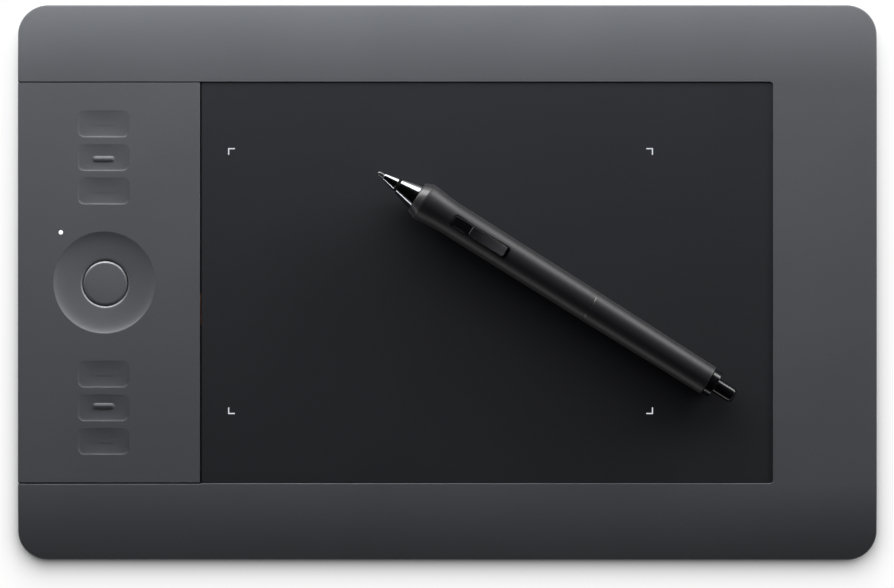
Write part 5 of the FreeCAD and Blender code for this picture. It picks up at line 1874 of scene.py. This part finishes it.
    def build(self, finishes: Finishes) -> None:
        """Build and place every outer piece of the pen.

        Args:
            finishes: Every material.
        """
        nib = self.turned_piece("nib_rod", self.nib_profile, finishes["nib_grey"], closed=False)
        stand_in(nib, "pen_nib")
        nodes = ("pen_nose_tip", "pen_nose_ring", "pen_nose_cone")
        for piece, node in zip(self.nose(finishes["nose_chrome"], finishes["ring_black"]), nodes):
            stand_in(piece, node)
        stand_in(self.front_barrel(finishes["soft_grip"]), "pen_front_barrel")
        stand_in(self.rear_barrel(finishes["soft_grip"]), "pen_rear_barrel")
        collar = self.turned_piece("tail_collar_ring", self.collar_profile, finishes["gloss_black"])
        stand_in(collar, "pen_tail_collar")
        stand_in(self.eraser(finishes["gloss_black"]), "pen_eraser")
        stand_in(self.surround(finishes["surround_black"]), "pen_switch_surround")
        (front, rear), (front_top, rear_top) = self.pads, self.pad_tops
        stand_in(self.pad("front_pad_cap", front, front_top, finishes["pad_gloss"]), "pen_front_pad")
        rear_pad = self.pad("rear_pad_cap", rear, rear_top, finishes["pad_brushed"], self.rear_bevel)
        stand_in(rear_pad, "pen_rear_pad")

    def at(self, place: float) -> Vector:
        """Point of the pen's axis, in metres of the CAD frame."""
        return self.placement() @ Vector((place, 0.0, 0.0)) * MILLIMETRE

    def direction(self) -> Vector:
        """Direction from tip to tail."""
        return (self.at(1.0) - self.at(0.0)).normalized()


# Studio

@dataclass
class Lamp:
    """Rectangular studio lamp that faces the tablet.

    Attributes:
        name: Name of the lamp.
        azimuth: Degrees from the right towards the rear.
        elevation: Degrees above the floor.
        distance: Metres from the middle of the tablet.
        size: Its width and height in metres.
        power: Its power in watts.
        mirrored: Whether polished parts show it.
    """

    name: str
    azimuth: float
    elevation: float
    distance: float
    size: tuple[float, float]
    power: float
    mirrored: bool = True

    def hang(self) -> None:
        """Hang the lamp."""
        light = bpy.data.lights.new(self.name, "AREA")
        light.shape = "RECTANGLE"
        light.size, light.size_y = self.size
        light.energy = self.power
        holder = bpy.data.objects.new(self.name, light)
        azimuth, elevation = math.radians(self.azimuth), math.radians(self.elevation)
        way = Vector((math.cos(azimuth) * math.cos(elevation), math.sin(azimuth) * math.cos(elevation),
                      math.sin(elevation)))
        holder.location = way * self.distance
        holder.rotation_euler = (-way).to_track_quat("-Z", "Y").to_euler()
        holder.visible_camera = False
        holder.visible_glossy = self.mirrored
        bpy.context.scene.collection.objects.link(holder)


@dataclass
class Studio:
    """Pale floor, soft lamps, pale horizon and the camera straight above.

    Attributes:
        floor_half: Half the side of the floor in metres.
        floor_shade: Colour of the floor.
        floor_drift: Share by which that colour darkens in places.
        floor_pitch: Size of those places in millimetres.
        clearing: Millimetres over which the floor clears to plain white away from the tablet.
        side_haste: How much quicker it clears at the sides.
        plan: Half length, half width and corner radius of what stands on the floor.
        horizon: Colour of the world at and below the horizon.
        zenith: Colour of the world overhead.
        fade: Heights between which one turns into the other, as shares of the way up.
        lens: Focal length in millimetres.
        sensor: Width of the camera's sensor in millimetres.
        sight: Nearest and farthest distance that the camera sees, in metres.
        frame_width: Width that the photograph spans, in millimetres.
        aim: Point under the camera.
        lamps: Every lamp.
    """

    floor_half: float = 3.0
    floor_shade: Rgb = (238, 238, 239)
    floor_drift: float = 0.015
    floor_pitch: float = 300.0
    clearing: float = 4.2
    side_haste: float = 1.45
    plan: tuple[float, float, float] = (160.0, 103.5, 11.0)
    horizon: Rgb = (225, 226, 230)
    zenith: Rgb = (8, 8, 9)
    fade: Plan = (0.12, 0.3)
    lens: float = 300.0
    sensor: float = 36.0
    sight: Plan = (0.01, 50.0)
    frame_width: float = 333.0
    aim: tuple[float, float, float] = (-0.15, -4.27, 12.0)
    lamps: tuple[Lamp, ...] = (
        Lamp("rear_strip", 88.0, 22.0, 0.33, (0.9, 0.16), 2.25),
        Lamp("rear_left_strip", 116.0, 22.0, 0.42, (0.6, 0.16), 0.8),
        Lamp("high_rear_box", 91.0, 52.0, 0.34, (0.9, 0.3), 1.0, False),
        Lamp("far_right_strip", 35.0, 9.0, 3.0, (2.2, 0.5), 92.0),
        Lamp("front_left_strip", 238.0, 3.5, 0.7, (0.7, 0.05), 0.9),
    )

    def white_share(self, graph: Graph) -> Signal:
        """Share of the floor that shows plain white to straight, mirrored and let-through rays.

        Args:
            graph: Tree of the floor.

        Returns:
            Nought at the tablet's outline, rising to one away from it.
        """
        across, rearward, _ = graph.axes(graph.place())
        length, width, radius = (value * MILLIMETRE for value in self.plan)
        over_x = (across.size() - (length - radius)).highest(0.0)
        over_y = (rearward.size() - (width - radius)).highest(0.0)
        beside = (across.size() - length).highest(0.0) * (self.side_haste - 1)
        distance = ((over_x * over_x + over_y * over_y).root() - radius).highest(0.0) + beside
        path = graph.node("ShaderNodeLightPath", {}, {})
        rays = [Signal(graph, path.outputs[name]) for name in
                ("Is Camera Ray", "Is Glossy Ray", "Is Transmission Ray")]
        seen = rays[0].highest(rays[1]).highest(rays[2])
        return seen * (1 - (distance / (-self.clearing * MILLIMETRE)).exponential())

    def lay_floor(self) -> None:
        """Lay the floor."""
        form = Form()
        half = self.floor_half / MILLIMETRE
        form.face(form.loop(((-half, -half, 0), (half, -half, 0), (half, half, 0), (-half, half, 0))))
        material, graph = new_material("studio_floor")
        wander = graph.noise(graph.place(), self.floor_pitch)
        shade = shown(self.floor_shade)
        colour = graph.mix(wander, shade, scaled(shade, 1 - self.floor_drift))
        matte = graph.signal("ShaderNodeBsdfDiffuse", {}, {"Color": colour})
        plain = graph.signal("ShaderNodeEmission", {}, {"Color": (1.0, 1.0, 1.0, 1.0), "Strength": 1.0})
        surface = graph.signal("ShaderNodeMixShader", {}, {0: self.white_share(graph), 1: matte, 2: plain})
        graph.node("ShaderNodeOutputMaterial", {}, {"Surface": surface})
        floor = form.write("studio_floor", material)
        floor.modifiers.clear()
        floor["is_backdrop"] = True

    def light_world(self) -> None:
        """Light the world: pale near the horizon and dim overhead."""
        world = bpy.data.worlds.new("studio_world")
        world.use_nodes = True
        graph = Graph(world.node_tree)
        way = graph.signal("ShaderNodeTexCoord", {}, {}, "Generated")
        low, high = self.fade
        horizon, zenith = shown(self.horizon), shown(self.zenith)
        stops = [(0.0, horizon), (low, horizon), (high, zenith), (1.0, zenith)]
        colour = graph.signal("ShaderNodeValToRGB", {"stops": stops}, {0: graph.axes(way)[2]})
        surface = graph.signal("ShaderNodeBackground", {}, {"Color": colour, "Strength": 1.0})
        graph.node("ShaderNodeOutputWorld", {}, {"Surface": surface})
        bpy.context.scene.world = world

    def place_camera(self) -> None:
        """Place the camera straight above, with the rear of the tablet at the top of the picture."""
        camera = bpy.data.cameras.new("camera")
        camera.lens = self.lens
        camera.sensor_width = self.sensor
        camera.clip_start, camera.clip_end = self.sight
        holder = bpy.data.objects.new("camera", camera)
        x, y, z = self.aim
        distance = self.frame_width * self.lens / self.sensor
        holder.location = (x * MILLIMETRE, y * MILLIMETRE, (z + distance) * MILLIMETRE)
        bpy.context.scene.collection.objects.link(holder)
        bpy.context.scene.camera = holder

    def build(self) -> None:
        """Set up the floor, the lamps, the world and the camera."""
        self.lay_floor()
        for lamp in self.lamps:
            lamp.hang()
        self.light_world()
        self.place_camera()
        view = bpy.context.scene.view_settings
        view.view_transform = "Standard"
        log.info("studio for a picture of %d by %d pixels", *PHOTO_SIZE)


def corners(box: tuple[Vector, Vector]) -> list[list[float]]:
    """Give the two corners of a box as plain lists."""
    return [list(corner) for corner in box]


def main() -> None:
    """Build the tablet, its pen and the studio."""
    logging.basicConfig(level=logging.INFO, format="%(message)s")
    pen, ring = Pen(), TouchRing()
    finishes = Finishes(pen, ring)
    finishes.dress_frame()
    Tablet(finishes, ring).build()
    pen.build(finishes)
    Studio().build()
    {"cad": corners(cad_box), "visual": corners(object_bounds())}


if __name__ == "__main__":
    main()
